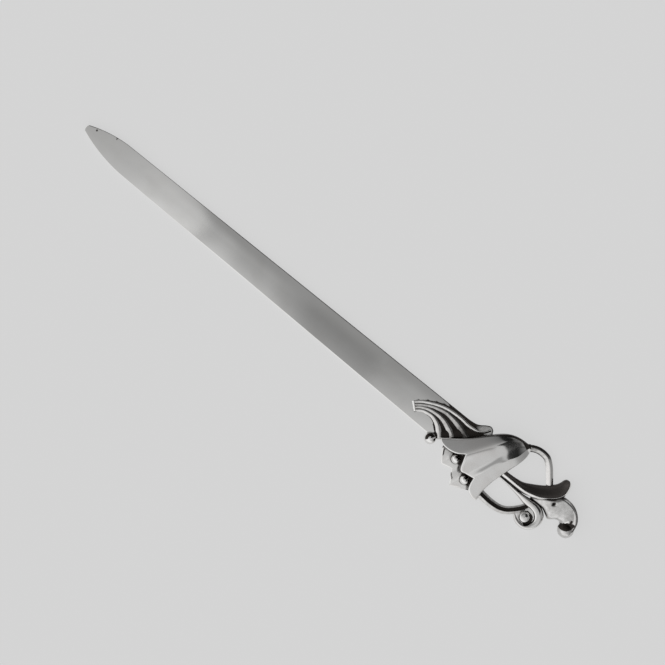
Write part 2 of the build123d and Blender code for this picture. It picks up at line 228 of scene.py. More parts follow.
backdrop = node_out(sky, "ShaderNodeBackground", {"Color": grey(PALE)})
to_camera = add_node(sky, "ShaderNodeLightPath").outputs["Is Camera Ray"]
shown_sky = node_out(sky, "ShaderNodeMixShader", {0: to_camera, 1: tent, 2: backdrop})
add_node(sky, "ShaderNodeOutputWorld", {0: shown_sky})
print("sky nodes:", len(sky.nodes))

# %% Table top: pale, with a faint shadow under the opener
FLOOR_DIFFUSE = 0.25
FLOOR_GLOW = 0.8875
TABLE_HALF = 3000.0
TABLE_DROP = -0.05
CORNERS = ((-1, -1), (1, -1), (1, 1), (-1, 1))
table_material = bpy.data.materials.new("table_top")
table_material.use_nodes = True
table_tree = table_material.node_tree
table_tree.nodes.clear()
rays = add_node(table_tree, "ShaderNodeLightPath").outputs
seen = math_node(table_tree, "MAXIMUM", rays["Is Camera Ray"], rays["Is Glossy Ray"])
strength = math_node(table_tree, "MULTIPLY", seen, FLOOR_GLOW)
glow = node_out(table_tree, "ShaderNodeEmission", {"Color": grey(PALE), "Strength": strength})
paper = node_out(table_tree, "ShaderNodeBsdfDiffuse", {"Color": grey(PALE)})
thin_paper = node_out(table_tree, "ShaderNodeMixShader", {0: FLOOR_DIFFUSE, 2: paper})
both = node_out(table_tree, "ShaderNodeAddShader", {0: thin_paper, 1: glow})
add_node(table_tree, "ShaderNodeOutputMaterial", {0: both})
table_mesh = bpy.data.meshes.new("table_top")
table_points = [(x * TABLE_HALF * MM, y * TABLE_HALF * MM, TABLE_DROP * MM) for x, y in CORNERS]
table_mesh.from_pydata(table_points, [], [(0, 1, 2, 3)])
table_mesh.materials.append(table_material)
table_top = place_object("table_top", table_mesh)
print("table top at", TABLE_DROP, "mm")

# %% [markdown]
# ## Finishes
# All the silver shares three effects, so each is a node group built once: fine scratches from years of
# slitting paper, soft smudges from hands, and black for the tarnish that stays where a polishing cloth
# can't reach and for painted shade. The black follows a number called `tarnish_and_painted_shade` that
# every point carries; its tarnish is measured from the finished forms further down, and single pieces
# add painted shade to it.

# %% Node groups: scratches, smudges, tarnish and painted shade
def new_group(name, numbers, results):
    """A shader group that takes a vector and these numbers; also returns its inside sockets."""
    group = bpy.data.node_groups.new(name, "ShaderNodeTree")
    group.interface.new_socket("Vector", in_out="INPUT", socket_type="NodeSocketVector")
    for label, value in numbers.items():
        socket = group.interface.new_socket(label, in_out="INPUT", socket_type="NodeSocketFloat")
        socket.default_value = value
    for label in results:
        group.interface.new_socket(label, in_out="OUTPUT", socket_type="NodeSocketFloat")
    return group, group.nodes.new("NodeGroupInput").outputs, group.nodes.new("NodeGroupOutput").inputs


def scaled_noise(tree, vector, scale, detail, noise_scale=1.0):
    """Noise on coordinates stretched by scale; returns its value."""
    stretched = node_out(tree, "ShaderNodeMapping", {"Vector": vector, "Scale": scale})
    feeds = {"Vector": stretched, "Scale": noise_scale, "Detail": detail}
    return node_out(tree, "ShaderNodeTexNoise", feeds)


scratches, taken, given = new_group("fine_scratches", {"Depth": 1.0}, ("Height", "Haze"))
long_marks = scaled_noise(scratches, taken["Vector"], (45, 5200, 900), 3)
cross_marks = scaled_noise(scratches, taken["Vector"], (2600, 160, 900), 2)
marks = math_node(scratches, "MULTIPLY_ADD", cross_marks, 0.3, long_marks)
mark_height = math_node(scratches, "MULTIPLY", marks, taken["Depth"])
feed(scratches, given, {"Height": mark_height, "Haze": soft_step(scratches, marks, 0.45, 0.95)})

smudges, taken, given = new_group("hand_smudges", {"Scale": 160.0}, ("Mask",))
cloud = node_out(smudges, "ShaderNodeTexNoise", {
    "Vector": taken["Vector"], "Scale": taken["Scale"], "Detail": 4, "Distortion": 0.6})
feed(smudges, given, {"Mask": soft_step(smudges, cloud, 0.4, 0.68)})

# the black mask covers tarnish and also the painted shade that single pieces add
tarnish_and_shade_nodes, taken, given = new_group("tarnish_and_shade_group", {"Recess": 0.0, "Start": 0.3, "Full": 0.6}, ("Mask",))
mottle = scaled_noise(tarnish_and_shade_nodes, taken["Vector"], (1, 1, 1), 3, 900.0)
mottle = math_node(tarnish_and_shade_nodes, "SUBTRACT", mottle, 0.5)
uneven = math_node(tarnish_and_shade_nodes, "MULTIPLY_ADD", mottle, 0.12, taken["Recess"])
feed(tarnish_and_shade_nodes, given, {"Mask": soft_step(tarnish_and_shade_nodes, uneven, taken["Start"], taken["Full"])})
print("node groups:", [group.name for group in bpy.data.node_groups])

# %% The silver, in five finishes
BUMP_STRENGTH = 0.06
BUMP_DISTANCE = 0.02 * MM
TARNISH_AND_SHADE_ROUGH = 0.3
WEAR_ROUGH = 0.25
TARNISH_AND_SHADE_BLACK = (0.04, 0.035, 0.032)
SLATE = (0.1, 0.09, 0.085)
# each: bright, dull and black colour, roughness, scratch depth, the value of tarnish_and_painted_shade
# where the black of tarnish and painted shade starts and where it is full, and the smudges' scale
FINISHES = {
    "blade_silver": ((0.85, 0.847, 0.835), (0.80, 0.795, 0.78), TARNISH_AND_SHADE_BLACK, 0.02, 0.5, 0.45, 0.8, 60.0),
    "ornament_silver": ((0.87, 0.865, 0.85), (0.80, 0.785, 0.77), TARNISH_AND_SHADE_BLACK, 0.1, 0.6, 0.22, 0.5, 160.0),
    "blossom_silver": ((0.88, 0.875, 0.865), (0.83, 0.815, 0.80), TARNISH_AND_SHADE_BLACK, 0.1, 0.5, 0.3, 0.6, 160.0),
    "bead_silver": ((0.9, 0.895, 0.885), (0.84, 0.83, 0.82), TARNISH_AND_SHADE_BLACK, 0.08, 0.4, 0.35, 0.65, 160.0),
    "oxidised_silver": ((0.87, 0.86, 0.845), (0.78, 0.765, 0.75), SLATE, 0.12, 0.5, 0.3, 0.55, 160.0),
}


def silver_finish(name, bright, dull, black, polish, depth, start, full, smudge_scale):
    """Silver with scratches of a depth, smudges, and black between two values of tarnish_and_painted_shade,
    for tarnished places and painted shade.
    """
    material = bpy.data.materials.new(name)
    material.use_nodes = True
    tree = material.node_tree
    place = add_node(tree, "ShaderNodeTexCoord").outputs["Object"]
    tarnish_and_painted_shade = add_node(tree, "ShaderNodeAttribute", attribute_name="tarnish_and_painted_shade").outputs["Fac"]

    def effect(group, **feeds):
        return add_node(tree, "ShaderNodeGroup", {"Vector": place, **feeds}, node_tree=group).outputs

    wear = effect(scratches, Depth=depth)
    hands = effect(smudges, Scale=smudge_scale)["Mask"]
    tarnish_and_shade_mask = effect(tarnish_and_shade_nodes, Recess=tarnish_and_painted_shade, Start=start, Full=full)["Mask"]
    cloth = mix_node(tree, "RGBA", hands, (*bright, 1), (*dull, 1))
    hazed = math_node(tree, "MULTIPLY_ADD", wear["Haze"], WEAR_ROUGH * polish, polish)
    handled = math_node(tree, "MULTIPLY_ADD", hands, WEAR_ROUGH * polish, hazed)
    feed(tree, tree.nodes["Principled BSDF"].inputs, {
        "Metallic": 1.0,
        # black where tarnish lies and where shade is painted
        "Base Color": mix_node(tree, "RGBA", tarnish_and_shade_mask, cloth, (*black, 1)),
        "Roughness": math_node(tree, "MULTIPLY_ADD", tarnish_and_shade_mask, TARNISH_AND_SHADE_ROUGH, handled),
        "Normal": node_out(tree, "ShaderNodeBump", {
            "Strength": BUMP_STRENGTH, "Distance": BUMP_DISTANCE, "Height": wear["Height"]}),
    })
    return material


finishes = {name: silver_finish(name, *values) for name, values in FINISHES.items()}
print("finishes:", list(finishes))

# %% [markdown]
# ## From points to pieces
# On the bench each piece is rolled, raised, drawn or cast, and then soldered to its neighbours. Here the
# forms are worked out in millimetres with numpy, as grids of points, and become meshes in metres. They
# could be modelled by hand, but a formula keeps each form editable and is the same at every run.
# `add_piece` gives a mesh its place in the frame: body, solid and finish.

# %% Meshes from grids, and pieces from meshes
MERGE_GAP = 0.002 * MM
made_pieces = []


def grid_faces(rows, cols, closed=False):
    """Quads over a grid of rows x cols points; closed joins the last column to the first."""
    faces = []
    for i in range(rows - 1):
        for j in range(cols if closed else cols - 1):
            k = (j + 1) % cols
            faces.append((i * cols + j, i * cols + k, (i + 1) * cols + k, (i + 1) * cols + j))
    return faces


def tube_faces(rows, cols):
    """A closed tube over the grid, with a cap at each end."""
    last = (rows - 1) * cols
    caps = [tuple(range(cols - 1, -1, -1)), tuple(range(last, last + cols))]
    return grid_faces(rows, cols, closed=True) + caps


def mesh_from(name, points, faces):
    """A mesh from points in millimetres, doubles merged and faces turned outwards."""
    mesh = bpy.data.meshes.new(name)
    mesh.from_pydata([tuple(p) for p in np.asarray(points, float).reshape(-1, 3) * MM], [], faces)
    shape = bmesh.new()
    shape.from_mesh(mesh)
    bmesh.ops.remove_doubles(shape, verts=shape.verts, dist=MERGE_GAP)
    bmesh.ops.recalc_face_normals(shape, faces=shape.faces)
    shape.to_mesh(mesh)
    shape.free()
    return mesh


def add_piece(name, mesh, slot, sharp):
    """Puts a mesh in the scene as the piece that stands for the solid of that name."""
    mesh.name = name + "_skin"
    mesh.materials.clear()
    mesh.materials.append(finishes[slot])
    mesh.shade_smooth()
    mesh.set_sharp_from_angle(angle=math.radians(sharp))
    piece = place_object(name + "_piece", mesh)
    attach(piece, "root")
    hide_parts(name)
    made_pieces.append(piece)
    print(piece.name, len(mesh.vertices), "points", len(mesh.polygons), "faces")


print("a tube of 2 rows and 4 columns has", len(tube_faces(2, 4)), "faces")

# %% [markdown]
# ## Blade
# A flat strip of rolled silver, ground to a lancet point and very slightly crowned across its face.
# It could be a bevelled box, but the crown is what spreads the reflections across the width, so the
# blade is a row of cross-sections: crowned face, ground bevels, thin sides and a flat back. A Boolean
# adds the tang that goes into the handle. Two specks near the point are stains; a thin dark line along
# the upper edge is a painted dark reflection.

# %% Blade: its edges and one section
BLADE_THICK = 1.6
BLADE_CROWN = 0.16
LOWER_BEVEL = 0.38
UPPER_BEVEL = 0.2
BACK_BEVEL = 0.3
FACE_POINTS = 25
POINT = (-156.9, 0.3)
TIP_X = -154.38
TIP_ROUND = 1.85
TIP_RUN = 27.0
UPPER_START = (-136.3, 5.1)
LOWER_START = (-132.0, -5.1)
ROOT_HALF = 6.8
ROOT_LOW_X = 15.0
ROOT_HIGH_X = 30.5


def blend(a, b, t):
    """The value a share t of the way from a to b."""
    return a + (b - a) * t


def ease(value, low, high):
    """0 below low, 1 above high, smooth between."""
    t = np.clip((np.asarray(value, float) - low) / (high - low), 0, 1)
    return t * t * (3 - 2 * t)


def blade_edge(x, start, side, root_x):
    """The blade's edge: an arc at the point, then a straight taper to the root."""
    run = start[0] - POINT[0]
    drop = abs(start[1] - POINT[1])
    radius = (run * run + drop * drop) / (2 * drop)
    if x < start[0]:
        return side * (abs(start[1]) - radius + math.sqrt(radius**2 - (start[0] - x) ** 2))
    return blend(start[1], side * ROOT_HALF, (x - start[0]) / (root_x - start[0]))


def blade_section(low, high):
    """One section between the low and high edge, each (x, y), going round the blade."""
    half = (high[1] - low[1]) / 2
    grown = blend(0.4, 1.0, float(ease(low[0], -125, -75)))
    lower = min(LOWER_BEVEL, 0.4 * half) * grown
    upper = min(UPPER_BEVEL, 0.4 * half) * grown
    back = min(BACK_BEVEL, 0.3 * half)
    crown = BLADE_CROWN * min(1, half / 5.0) * blend(0.3, 1.0, float(ease(low[0], -140, -80)))
    face_edge = BLADE_THICK - crown
    ring = [(-1 + back / half, 0), (1 - back / half, 0), (1, back), (1, face_edge - 0.8 * upper)]
    for share in np.linspace(1 - upper / half, -1 + lower / half, FACE_POINTS):
        ring.append((share, BLADE_THICK - crown * share**2))
    ring += [(-1, face_edge - 0.8 * lower), (-1, back)]
    return [(blend(low[0], high[0], (s + 1) / 2), blend(low[1], high[1], (s + 1) / 2), z) for s, z in ring]


print("points round one section:", len(blade_section((-60.0, -5.5), (-60.0, 5.5))))

# %% Blade: a row of sections
TIP_ROWS = 60
TAPER_ROWS = 120
blade_rows = []
for x in TIP_X + TIP_RUN * np.linspace(0.06, 1, TIP_ROWS) ** 2:
    low_y = blade_edge(x, LOWER_START, -1, ROOT_LOW_X)
    high_y = blade_edge(x, UPPER_START, 1, ROOT_HIGH_X)
    middle = (low_y + high_y) / 2
    half = (high_y - low_y) / 2
    if x < TIP_X + TIP_ROUND:
        half = min(half, math.sqrt(max(TIP_ROUND**2 - (TIP_X + TIP_ROUND - x) ** 2, 0.01)))
    blade_rows.append(blade_section((x, middle - half), (x, middle + half)))
for share in np.linspace(0, 1, TAPER_ROWS + 1)[1:]:
    low_x = blend(TIP_X + TIP_RUN, ROOT_LOW_X, share)
    high_x = low_x + (ROOT_HIGH_X - ROOT_LOW_X) * ease(share, 0.8, 1.0)
    low = (low_x, blade_edge(low_x, LOWER_START, -1, ROOT_LOW_X))
    high = (high_x, blade_edge(high_x, UPPER_START, 1, ROOT_HIGH_X))
    blade_rows.append(blade_section(low, high))
blade_rows = np.array(blade_rows)
blade_mesh = mesh_from("blade", blade_rows, tube_faces(*blade_rows.shape[:2]))
print("blade without its tang:", len(blade_mesh.vertices), "points")

# %% Blade: the tang, joined by a Boolean
def plain_mesh(holder):
    """The mesh that an object's modifiers make of it; the object itself goes."""
    mesh = bpy.data.meshes.new_from_object(holder.evaluated_get(bpy.context.evaluated_depsgraph_get()))
    bpy.data.objects.remove(holder)
    return mesh


def carve(mesh, tool, operation):
    """The mesh after a Boolean with another mesh."""
    body = place_object("carved", mesh)
    cutter = place_object("cutter", tool)
    modifier = body.modifiers.new("carve", "BOOLEAN")
    modifier.operation = operation
    modifier.solver = "MANIFOLD"
    modifier.object = cutter
    carved = plain_mesh(body)
    bpy.data.objects.remove(cutter)
    return carved


def prism(name, outline, low, high):
    """An upright block over an outline, between two heights."""
    grid = np.array([[(*p, z) for p in outline] for z in (low, high)])
    return mesh_from(name, grid, tube_faces(2, len(outline)))


TANG_START = 18.0
TANG_END = 36.0
TANG_HALF = 3.0
TANG_CORNER = 1.5
TANG_THICK = BLADE_THICK - 0.1


def tang_outline(start, gap):
    """The tang's outline with rounded corners, grown by a gap."""
    reach, half = TANG_END + gap, TANG_HALF + gap
    corner_x, corner_y = reach - TANG_CORNER, TANG_CORNER - half
    low = [(corner_x + TANG_CORNER * math.cos(a), corner_y + TANG_CORNER * math.sin(a))
           for a in np.radians(np.linspace(-90, 0, 10))]
    high = [(x, -y) for x, y in low[::-1]]
    return [(start, half), (start, -half)] + low + high


blade_mesh = carve(blade_mesh, prism("tang", tang_outline(TANG_START, 0), 0.0, TANG_THICK), "UNION")
add_piece("blade", blade_mesh, "blade_silver", sharp=15)

# %% Blade: its stains and its painted dark edge
def around(centre, points):
    """For every point: its distance from a centre, and its heading from there in degrees."""
    off = points[:, :2] - np.array(centre[:2])
    return np.linalg.norm(off, axis=1), np.degrees(np.arctan2(off[:, 1], off[:, 0]))


def darken_with(function, *solids):
    """Keeps the function that says where these solids are stained and where shade is painted on them."""
    for solid in solids:
        piece_stains_and_shade[solid] = function
    print("stains set by hand:", *solids)


SPECKS = ((-150.6, 1.9), (-143.0, 4.1))
piece_stains_and_shade = {}


def blade_specks_and_painted_edge(points):
    """A thin dark line along the upper edge, a painted dark reflection, and two stained specks near the
    point.
    """
    edge = np.array([blade_edge(x, UPPER_START, 1, ROOT_HIGH_X) for x in points[:, 0]])
    # painted dark reflection: a thin line along the upper edge
    line = 0.7 * (1 - ease(edge - points[:, 1], 0.2, 0.5))
    gap = np.min([around(speck, points)[0] for speck in SPECKS], axis=0)
    return 1.0, np.maximum(line, 0.75 * (1 - ease(gap, 0.3, 0.8))) * (points[:, 2] > 0.8)


darken_with(blade_specks_and_painted_edge, "blade")

# %% [markdown]
# ## Bellflower
# The bell is raised from sheet: three petals, a narrow neck and a wide mouth cut into petal tips. A
# sphere pushed into shape would lose the creases, so the skin is a grid worked out section by section:
# a steep first petal, a rounded ridge, a gentle second petal that turns up in a fold, and beyond the
# crease a third petal that falls away. The wall turns over a rounded lip into the hollow inside.

# %% Bell: its axis, width, height and middle
APEX = np.array([43.1, 13.0])
DOWN = np.array([math.cos(math.radians(247)), math.sin(math.radians(247))])
ACROSS = np.array([-DOWN[1], DOWN[0]])
BELL_LENGTH = 27.0
NECK_WIDE = 1.9
BODY_WIDE = 13.2
MOUTH_WIDE = 26.5
BODY_TALL = 7.0
NECK_RUN = 3.1
NECK_ROUND = 0.9
RISE_RUN = 4.2
FLARE_POWER = 2.3


def settle(at, length):
    """0 at the neck, nearing 1 within a few times the length."""
    return 1 - np.exp(-np.maximum(at, 0) / length)


def neck_cap(at):
    """1 down the bell, and less over the rounded end of its neck."""
    return np.sqrt(np.clip(1 - (np.minimum(at, 0) / NECK_ROUND) ** 2, 0.02, 1))


def bell_half(at):
    """Half the bell's width at a distance down it."""
    flare = (MOUTH_WIDE - BODY_WIDE) * (np.maximum(at, 0) / BELL_LENGTH) ** FLARE_POWER
    return neck_cap(at) * (NECK_WIDE + (BODY_WIDE - NECK_WIDE) * settle(at, NECK_RUN) + flare) / 2


def bell_rise(at):
    """The height of the bell's ridge."""
    return neck_cap(at) * (NECK_WIDE + (BODY_TALL - NECK_WIDE) * settle(at, RISE_RUN))


def bell_centre(at):
    """Where the middle of the bell lies across its axis."""
    return -2.0 * settle(at, NECK_RUN) - 0.12 * np.maximum(at, 0)


print("bell at its mouth:", round(2 * bell_half(BELL_LENGTH), 1), "mm wide")

# %% Bell: one section of three petals
CREST_ROUND = 0.9
MIDDLE_FALL = math.tan(math.radians(5))
RIGHT_FALL = math.tan(math.radians(13))
FOLD_WIDTH = 0.5
FOLD_LIFT = 0.45
VALLEY_LIFT = 0.2
TIP_FLARE = 0.7
WALL_SHARE = 0.32
SHOULDER = 0.12


def side_petal(edge, crease, level_at, share):
    """From the foot of the wall up over the shoulder and along the face to the crease."""
    shoulder = edge + SHOULDER * (crease - edge)
    if share < WALL_SHARE:
        t = share / WALL_SHARE
        across = edge + (shoulder - edge) * t * t
        return across, 2 * t * (1 - t) * level_at(edge) + t * t * level_at(shoulder)
    across = blend(shoulder, crease, (share - WALL_SHARE) / (1 - WALL_SHARE))
    return across, level_at(across)


def bell_point(at, petal, share):
    """(across, up) of the bell's skin at a distance down it, on one of its three petals."""
    half = float(bell_half(at))
    centre = float(bell_centre(at))
    way = max(at, 0) / BELL_LENGTH
    grown = float(settle(at, 3.0))
    left = max(-4.4 - 0.19 * at - centre, -0.6 * half)
    right = min(0.45 + 0.45 * math.exp(-((at - 5.5) / 2.2) ** 2) - centre, 0.6 * half)
    steep = math.tan(math.radians(blend(26, 20, way)))
    soft = CREST_ROUND * max(grown, 0.1)
    fold = FOLD_LIFT * grown * (1 - 0.55 * way)
    valley = VALLEY_LIFT * (1 - 0.5 * float(ease(at, 19, 25)))
    opened = float(ease(at, 9, 14))

    def crest(across):
        """A rounded ridge: steep on the first petal, gentle on the second."""
        off = across - left
        return (float(bell_rise(at)) - (steep + MIDDLE_FALL) / 2 * (math.hypot(off, soft) - soft)
                + (steep - MIDDLE_FALL) / 2 * off)

    def lift(share):
        """The second petal turns up to the crease: sharply near the neck, in a soft valley below."""
        sharp = fold * max(0.0, (share - 1 + FOLD_WIDTH) / FOLD_WIDTH) ** 2
        low = blend(0.62, 0.68, float(ease(at, 11, 21)))
        return blend(sharp, valley * float(ease(share, low, low + 0.3)), opened)

    def right_face(across):
        """The third petal falls away from the crease."""
        return crest(right) + lift(1.0) - RIGHT_FALL * (across - right)

    if petal == 0:
        across, up = side_petal(-half, left, crest, share)
    elif petal == 1:
        across = blend(left, right, share)
        up = crest(across) + lift(share)
    else:
        edge = half + TIP_FLARE * float(ease(at, 22.5, 26.5))
        across, up = side_petal(edge, right, right_face, 1 - share)
    return across + centre, up


print("ridge halfway down:", [round(v, 1) for v in bell_point(BELL_LENGTH / 2, 1, 0.0)], "mm")

# %% Bell: the outline of its mouth
PATH_STEPS = 40
MOUTH = (
    ((-19.6, 26.2), (-18.5, 27.2), (-16.1, 27.7), (-13.1, 26.7), (-10.6, 24.8), (-8.7, 22.0)),
    ((-8.7, 22.0), (-7.0, 23.8), (-5.1, 25.8), (-3.8, 26.3), (-2.5, 25.3), (0.4, 23.5)),
    ((0.4, 23.5), (1.9, 25.7), (3.6, 27.2), (6.3, 27.3), (7.9, 26.5), (9.0, 25.4)),
)


def smooth_path(points, count):
    """A curve through the points, Catmull-Rom, resampled to even steps."""
    knots = np.asarray(points, float)
    ends = np.vstack([2 * knots[0] - knots[1], knots, 2 * knots[-1] - knots[-2]])
    fine = []
    for a, b, c, d in zip(ends, ends[1:], ends[2:], ends[3:]):
        for t in np.linspace(0, 1, PATH_STEPS, endpoint=False):
            fine.append(0.5 * (2 * b + (c - a) * t + (2 * a - 5 * b + 4 * c - d) * t**2
                               + (3 * b - a - 3 * c + d) * t**3))
    fine.append(knots[-1])
    fine = np.array(fine)
    steps = np.concatenate([[0], np.cumsum(np.linalg.norm(np.diff(fine, axis=0), axis=1))])
    at = np.linspace(0, steps[-1], count)
    return np.stack([np.interp(at, steps, fine[:, k]) for k in range(fine.shape[1])], axis=1)


def mouth_depth(petal, share):
    """How far down the bell a column of its skin reaches, from the mouth's outline."""
    outline = smooth_path(MOUTH[petal], 60)
    depth = 25.0
    for _ in range(12):
        across, _up = bell_point(depth, petal, share)
        depth = blend(depth, float(np.interp(across, outline[:, 0], outline[:, 1])), 0.7)
    return depth


print("the second petal reaches", round(mouth_depth(1, 0.5), 1), "mm down the bell")

# %% Bell: outer skin
LIP_REACH = 0.6
ARC_COLUMNS = 26
BELL_ROWS = 76
NECK_END = -0.85


def to_model(at, across, up):
    """A place on the bell in the model's millimetres."""
    return np.array([*(APEX + at * DOWN + across * ACROSS), BLADE_THICK + up])


columns = [(petal, share) for petal in range(3) for share in np.linspace(0, 1, ARC_COLUMNS)
           if petal == 0 or share > 0]
outer = np.zeros((BELL_ROWS, len(columns), 3))
for j, (petal, share) in enumerate(columns):
    reach = mouth_depth(petal, share) - LIP_REACH
    for i, way in enumerate(np.linspace(0, 1, BELL_ROWS)):
        at = blend(NECK_END, reach, way**1.25)
        outer[i, j] = to_model(at, *bell_point(at, petal, share))
print("outer skin:", BELL_ROWS, "rows of", len(columns), "points")

# %% Bell: lip and inner skin
BELL_WALL = 0.8
along_step = np.gradient(outer, axis=0)
across_step = np.gradient(outer, axis=1)
outward = np.cross(across_step, along_step)
outward /= np.linalg.norm(outward, axis=2, keepdims=True) + TINY
outward *= np.sign(outward[BELL_ROWS // 2, len(columns) // 2, 2])
wall = np.minimum(BELL_WALL, 0.25 + 0.02 * np.arange(BELL_ROWS))[:, None, None]
inner = outer - outward * wall
inner[:, :, 2] = np.maximum(inner[:, :, 2], BLADE_THICK)
forward = along_step[-1] / (np.linalg.norm(along_step[-1], axis=1, keepdims=True) + TINY)
lip_centre = (outer[-1] + inner[-1]) / 2
lip = [lip_centre + 0.5 * BELL_WALL * math.cos(a) * outward[-1] + LIP_REACH * math.sin(a) * forward
       for a in np.linspace(0, math.pi, 9)[1:-1]]
bell_grid = np.concatenate([outer, np.array(lip), inner[::-1]])
bell_grid[:, :, 2] = np.maximum(bell_grid[:, :, 2], BLADE_THICK)
rows, cols = bell_grid.shape[:2]
last = (rows - 1) * cols
bell_faces = grid_faces(rows, cols) + [(last + j, last + j + 1, j + 1, j) for j in range(cols - 1)]
for j in (0, cols - 1):
    for i in range(rows // 2 - 1):
        bell_faces.append(tuple(row * cols + j for row in (i, i + 1, rows - 2 - i, rows - 1 - i)))
bell_mesh = mesh_from("blossom_front", bell_grid, bell_faces)
add_piece("blossom_front", bell_mesh, "blossom_silver", sharp=30)

# %% Bell: its painted shade
def on_bell(points):
    """For every point: its distance down the bell and across it."""
    off = points[:, :2] - APEX
    return off @ DOWN, off @ ACROSS


def bell_painted_shade(points):
    """Painted shade: black at the neck, as a painted reflection of the dark room, and along the steep wall
    beside the leaf.
    """
    at, across = on_bell(points)
    edge = bell_centre(at) - bell_half(at)
    slope = (bell_centre(at + 0.1) - bell_half(at + 0.1) - edge) / 0.1
    from_edge = (across - edge) / np.hypot(1, slope)
    wide = blend(1.0, 0.5, ease(at, 6.0, 11.0))
    # painted shade along the wall where the bell meets the leaf
    wall = (1 - ease(from_edge, 0.6 * wide, 1.3 * wide)) * (1 - ease(at, 22.5, 24.5))
    # painted reflection of the dark room: the black cap at the neck
    neck = (1 - ease(at, 1.0, 2.4)) * (1 - ease(across, 0.1, 0.8))
    return 1.0, np.maximum(wall, 0.9 * neck)


darken_with(bell_painted_shade, "blossom_front")

# %% [markdown]
# ## Back of the bell
# Behind the bell lies a plate with two pointed petals that show between the front ones; they are domed
# a little and droop towards their tips. An extruded outline would leave them flat, so the plate is a
# slab over a grid. The blade's root and tang are inlaid in it, so a Boolean cuts their outline out, with
# a hair's breadth around it for the solder.

# %% A slab over a grid
def slab(top, soften):
    """Points and faces of a flat-backed slab: a grid for its top, softened along the rim by a width that
    each row sets, and a flat back at Z = 0."""
    rows, cols = top.shape[:2]
    rim = [(0, j) for j in range(cols)] + [(i, cols - 1) for i in range(1, rows)]
    rim += [(rows - 1, j) for j in range(cols - 2, -1, -1)] + [(i, 0) for i in range(rows - 2, 0, -1)]
    edge = np.array([top[i, j] for i, j in rim])
    ahead = np.roll(edge, -1, axis=0)[:, :2] - np.roll(edge, 1, axis=0)[:, :2]
    inward = np.stack([-ahead[:, 1], ahead[:, 0]], axis=1) / (np.linalg.norm(ahead, axis=1)[:, None] + TINY)
    turn = np.sum(edge[:, 0] * np.roll(edge[:, 1], -1) - np.roll(edge[:, 0], -1) * edge[:, 1])
    face = top.copy()
    side = edge.copy()
    for k, (i, j) in enumerate(rim):
        face[i, j, :2] += soften[i] * np.sign(turn) * inward[k]
        side[k, 2] -= soften[i]
    back = top * np.array([1, 1, 0])
    points = np.vstack([face.reshape(-1, 3), back.reshape(-1, 3), side])
    size = rows * cols
    faces = grid_faces(rows, cols) + [tuple(size + k for k in quad) for quad in grid_faces(rows, cols)]
    for k, (here, after) in enumerate(zip(rim, rim[1:] + rim[:1])):
        a, b = here[0] * cols + here[1], after[0] * cols + after[1]
        c, d = 2 * size + k, 2 * size + (k + 1) % len(rim)
        faces += [(a, b, d, c), (c, d, size + b, size + a)]
    return points, faces


print("a slab over 3 rows of 3 points has", len(slab(np.zeros((3, 3, 3)), np.zeros(3))[1]), "faces")

# %% Back plate with its petals
BACK_EDGE = ((-16.4, -2.6), (-14.4, 1.2), (-9.4, 4.3), (-6.0, 1.8), (-1.0, 5.3), (3.6, 0.2), (6.64, -2.6))
PETAL_TIPS = (-9.4, -1.0)
PETAL_DOME = 0.4
PETAL_DROOP = 0.11
PETAL_SOFT = 0.2
PETAL_START = 24.0
PETAL_ROWS = 17
PLATE_ROWS = 26
PLATE_INSET = 0.15
plate_across = np.concatenate([np.linspace(a[0], b[0], 9)[:-1] for a, b in zip(BACK_EDGE, BACK_EDGE[1:])])
plate_across = np.append(plate_across, BACK_EDGE[-1][0])
plate_shares = (plate_across - plate_across[0]) / (plate_across[-1] - plate_across[0])
plate_grid = []
for at in np.linspace(0.4, PETAL_START, PLATE_ROWS):
    low = float(bell_centre(at) - bell_half(at)) + PLATE_INSET
    high = float(bell_centre(at) + bell_half(at)) - PLATE_INSET
    plate_grid.append([to_model(at, blend(low, high, share), 0) for share in plate_shares])
plate_ends = BELL_LENGTH + np.interp(plate_across, *np.array(BACK_EDGE).T)
for way in np.linspace(0, 1, PETAL_ROWS + 1)[1:]:
    row = []
    for across, end in zip(plate_across, plate_ends):
        at = blend(PETAL_START, end, way)
        off = min(abs(across - tip) for tip in PETAL_TIPS) / 4.0
        swell = PETAL_DOME * max(1 - off * off, 0) * float(ease(at, 24.5, 28.0))
        row.append(to_model(at, across, swell - PETAL_DROOP * max(at - 25.0, 0)))
    plate_grid.append(row)
plate_soft = np.concatenate([np.zeros(PLATE_ROWS), np.full(PETAL_ROWS, PETAL_SOFT)])
plate_mesh = mesh_from("blossom_back", *slab(np.array(plate_grid), plate_soft))
print("back plate:", len(plate_mesh.vertices), "points")

# %% Back plate: room for the blade's root and tang
SOLDER_GAP = 0.04
CUT = (-2.0, 9.0)
CUT_START = -20.0
CUT_HALF = ROOT_HALF + 0.3
root_outline = [(CUT_START, -CUT_HALF), (ROOT_LOW_X + SOLDER_GAP, -CUT_HALF),
                (ROOT_HIGH_X + SOLDER_GAP, CUT_HALF), (CUT_START, CUT_HALF)]
plate_mesh = carve(plate_mesh, prism("root", root_outline, *CUT), "DIFFERENCE")
plate_mesh = carve(plate_mesh, prism("tang_room", tang_outline(10.0, SOLDER_GAP), *CUT), "DIFFERENCE")
add_piece("blossom_back", plate_mesh, "ornament_silver", sharp=35)

# %% Back plate: its painted shadow
PETAL_SHADOW_LINES = (((19.9, -7.5), (20.9, -9.4)), ((27.1, -12.4), (28.9, -14.0)))
NOTCHES = (-8.0, -5.2, 0.4)
STAMEN_PLACES = ((25.25, -7.4), (32.4, -11.25))
STAMEN_RADIUS = 1.7


def nearest_on(line, points):
    """For every point: the number of the nearest place on a line, and the gap to it."""
    apart = np.linalg.norm(points[:, None, :2] - line[None], axis=2)
    return apart.argmin(axis=1), apart.min(axis=1)


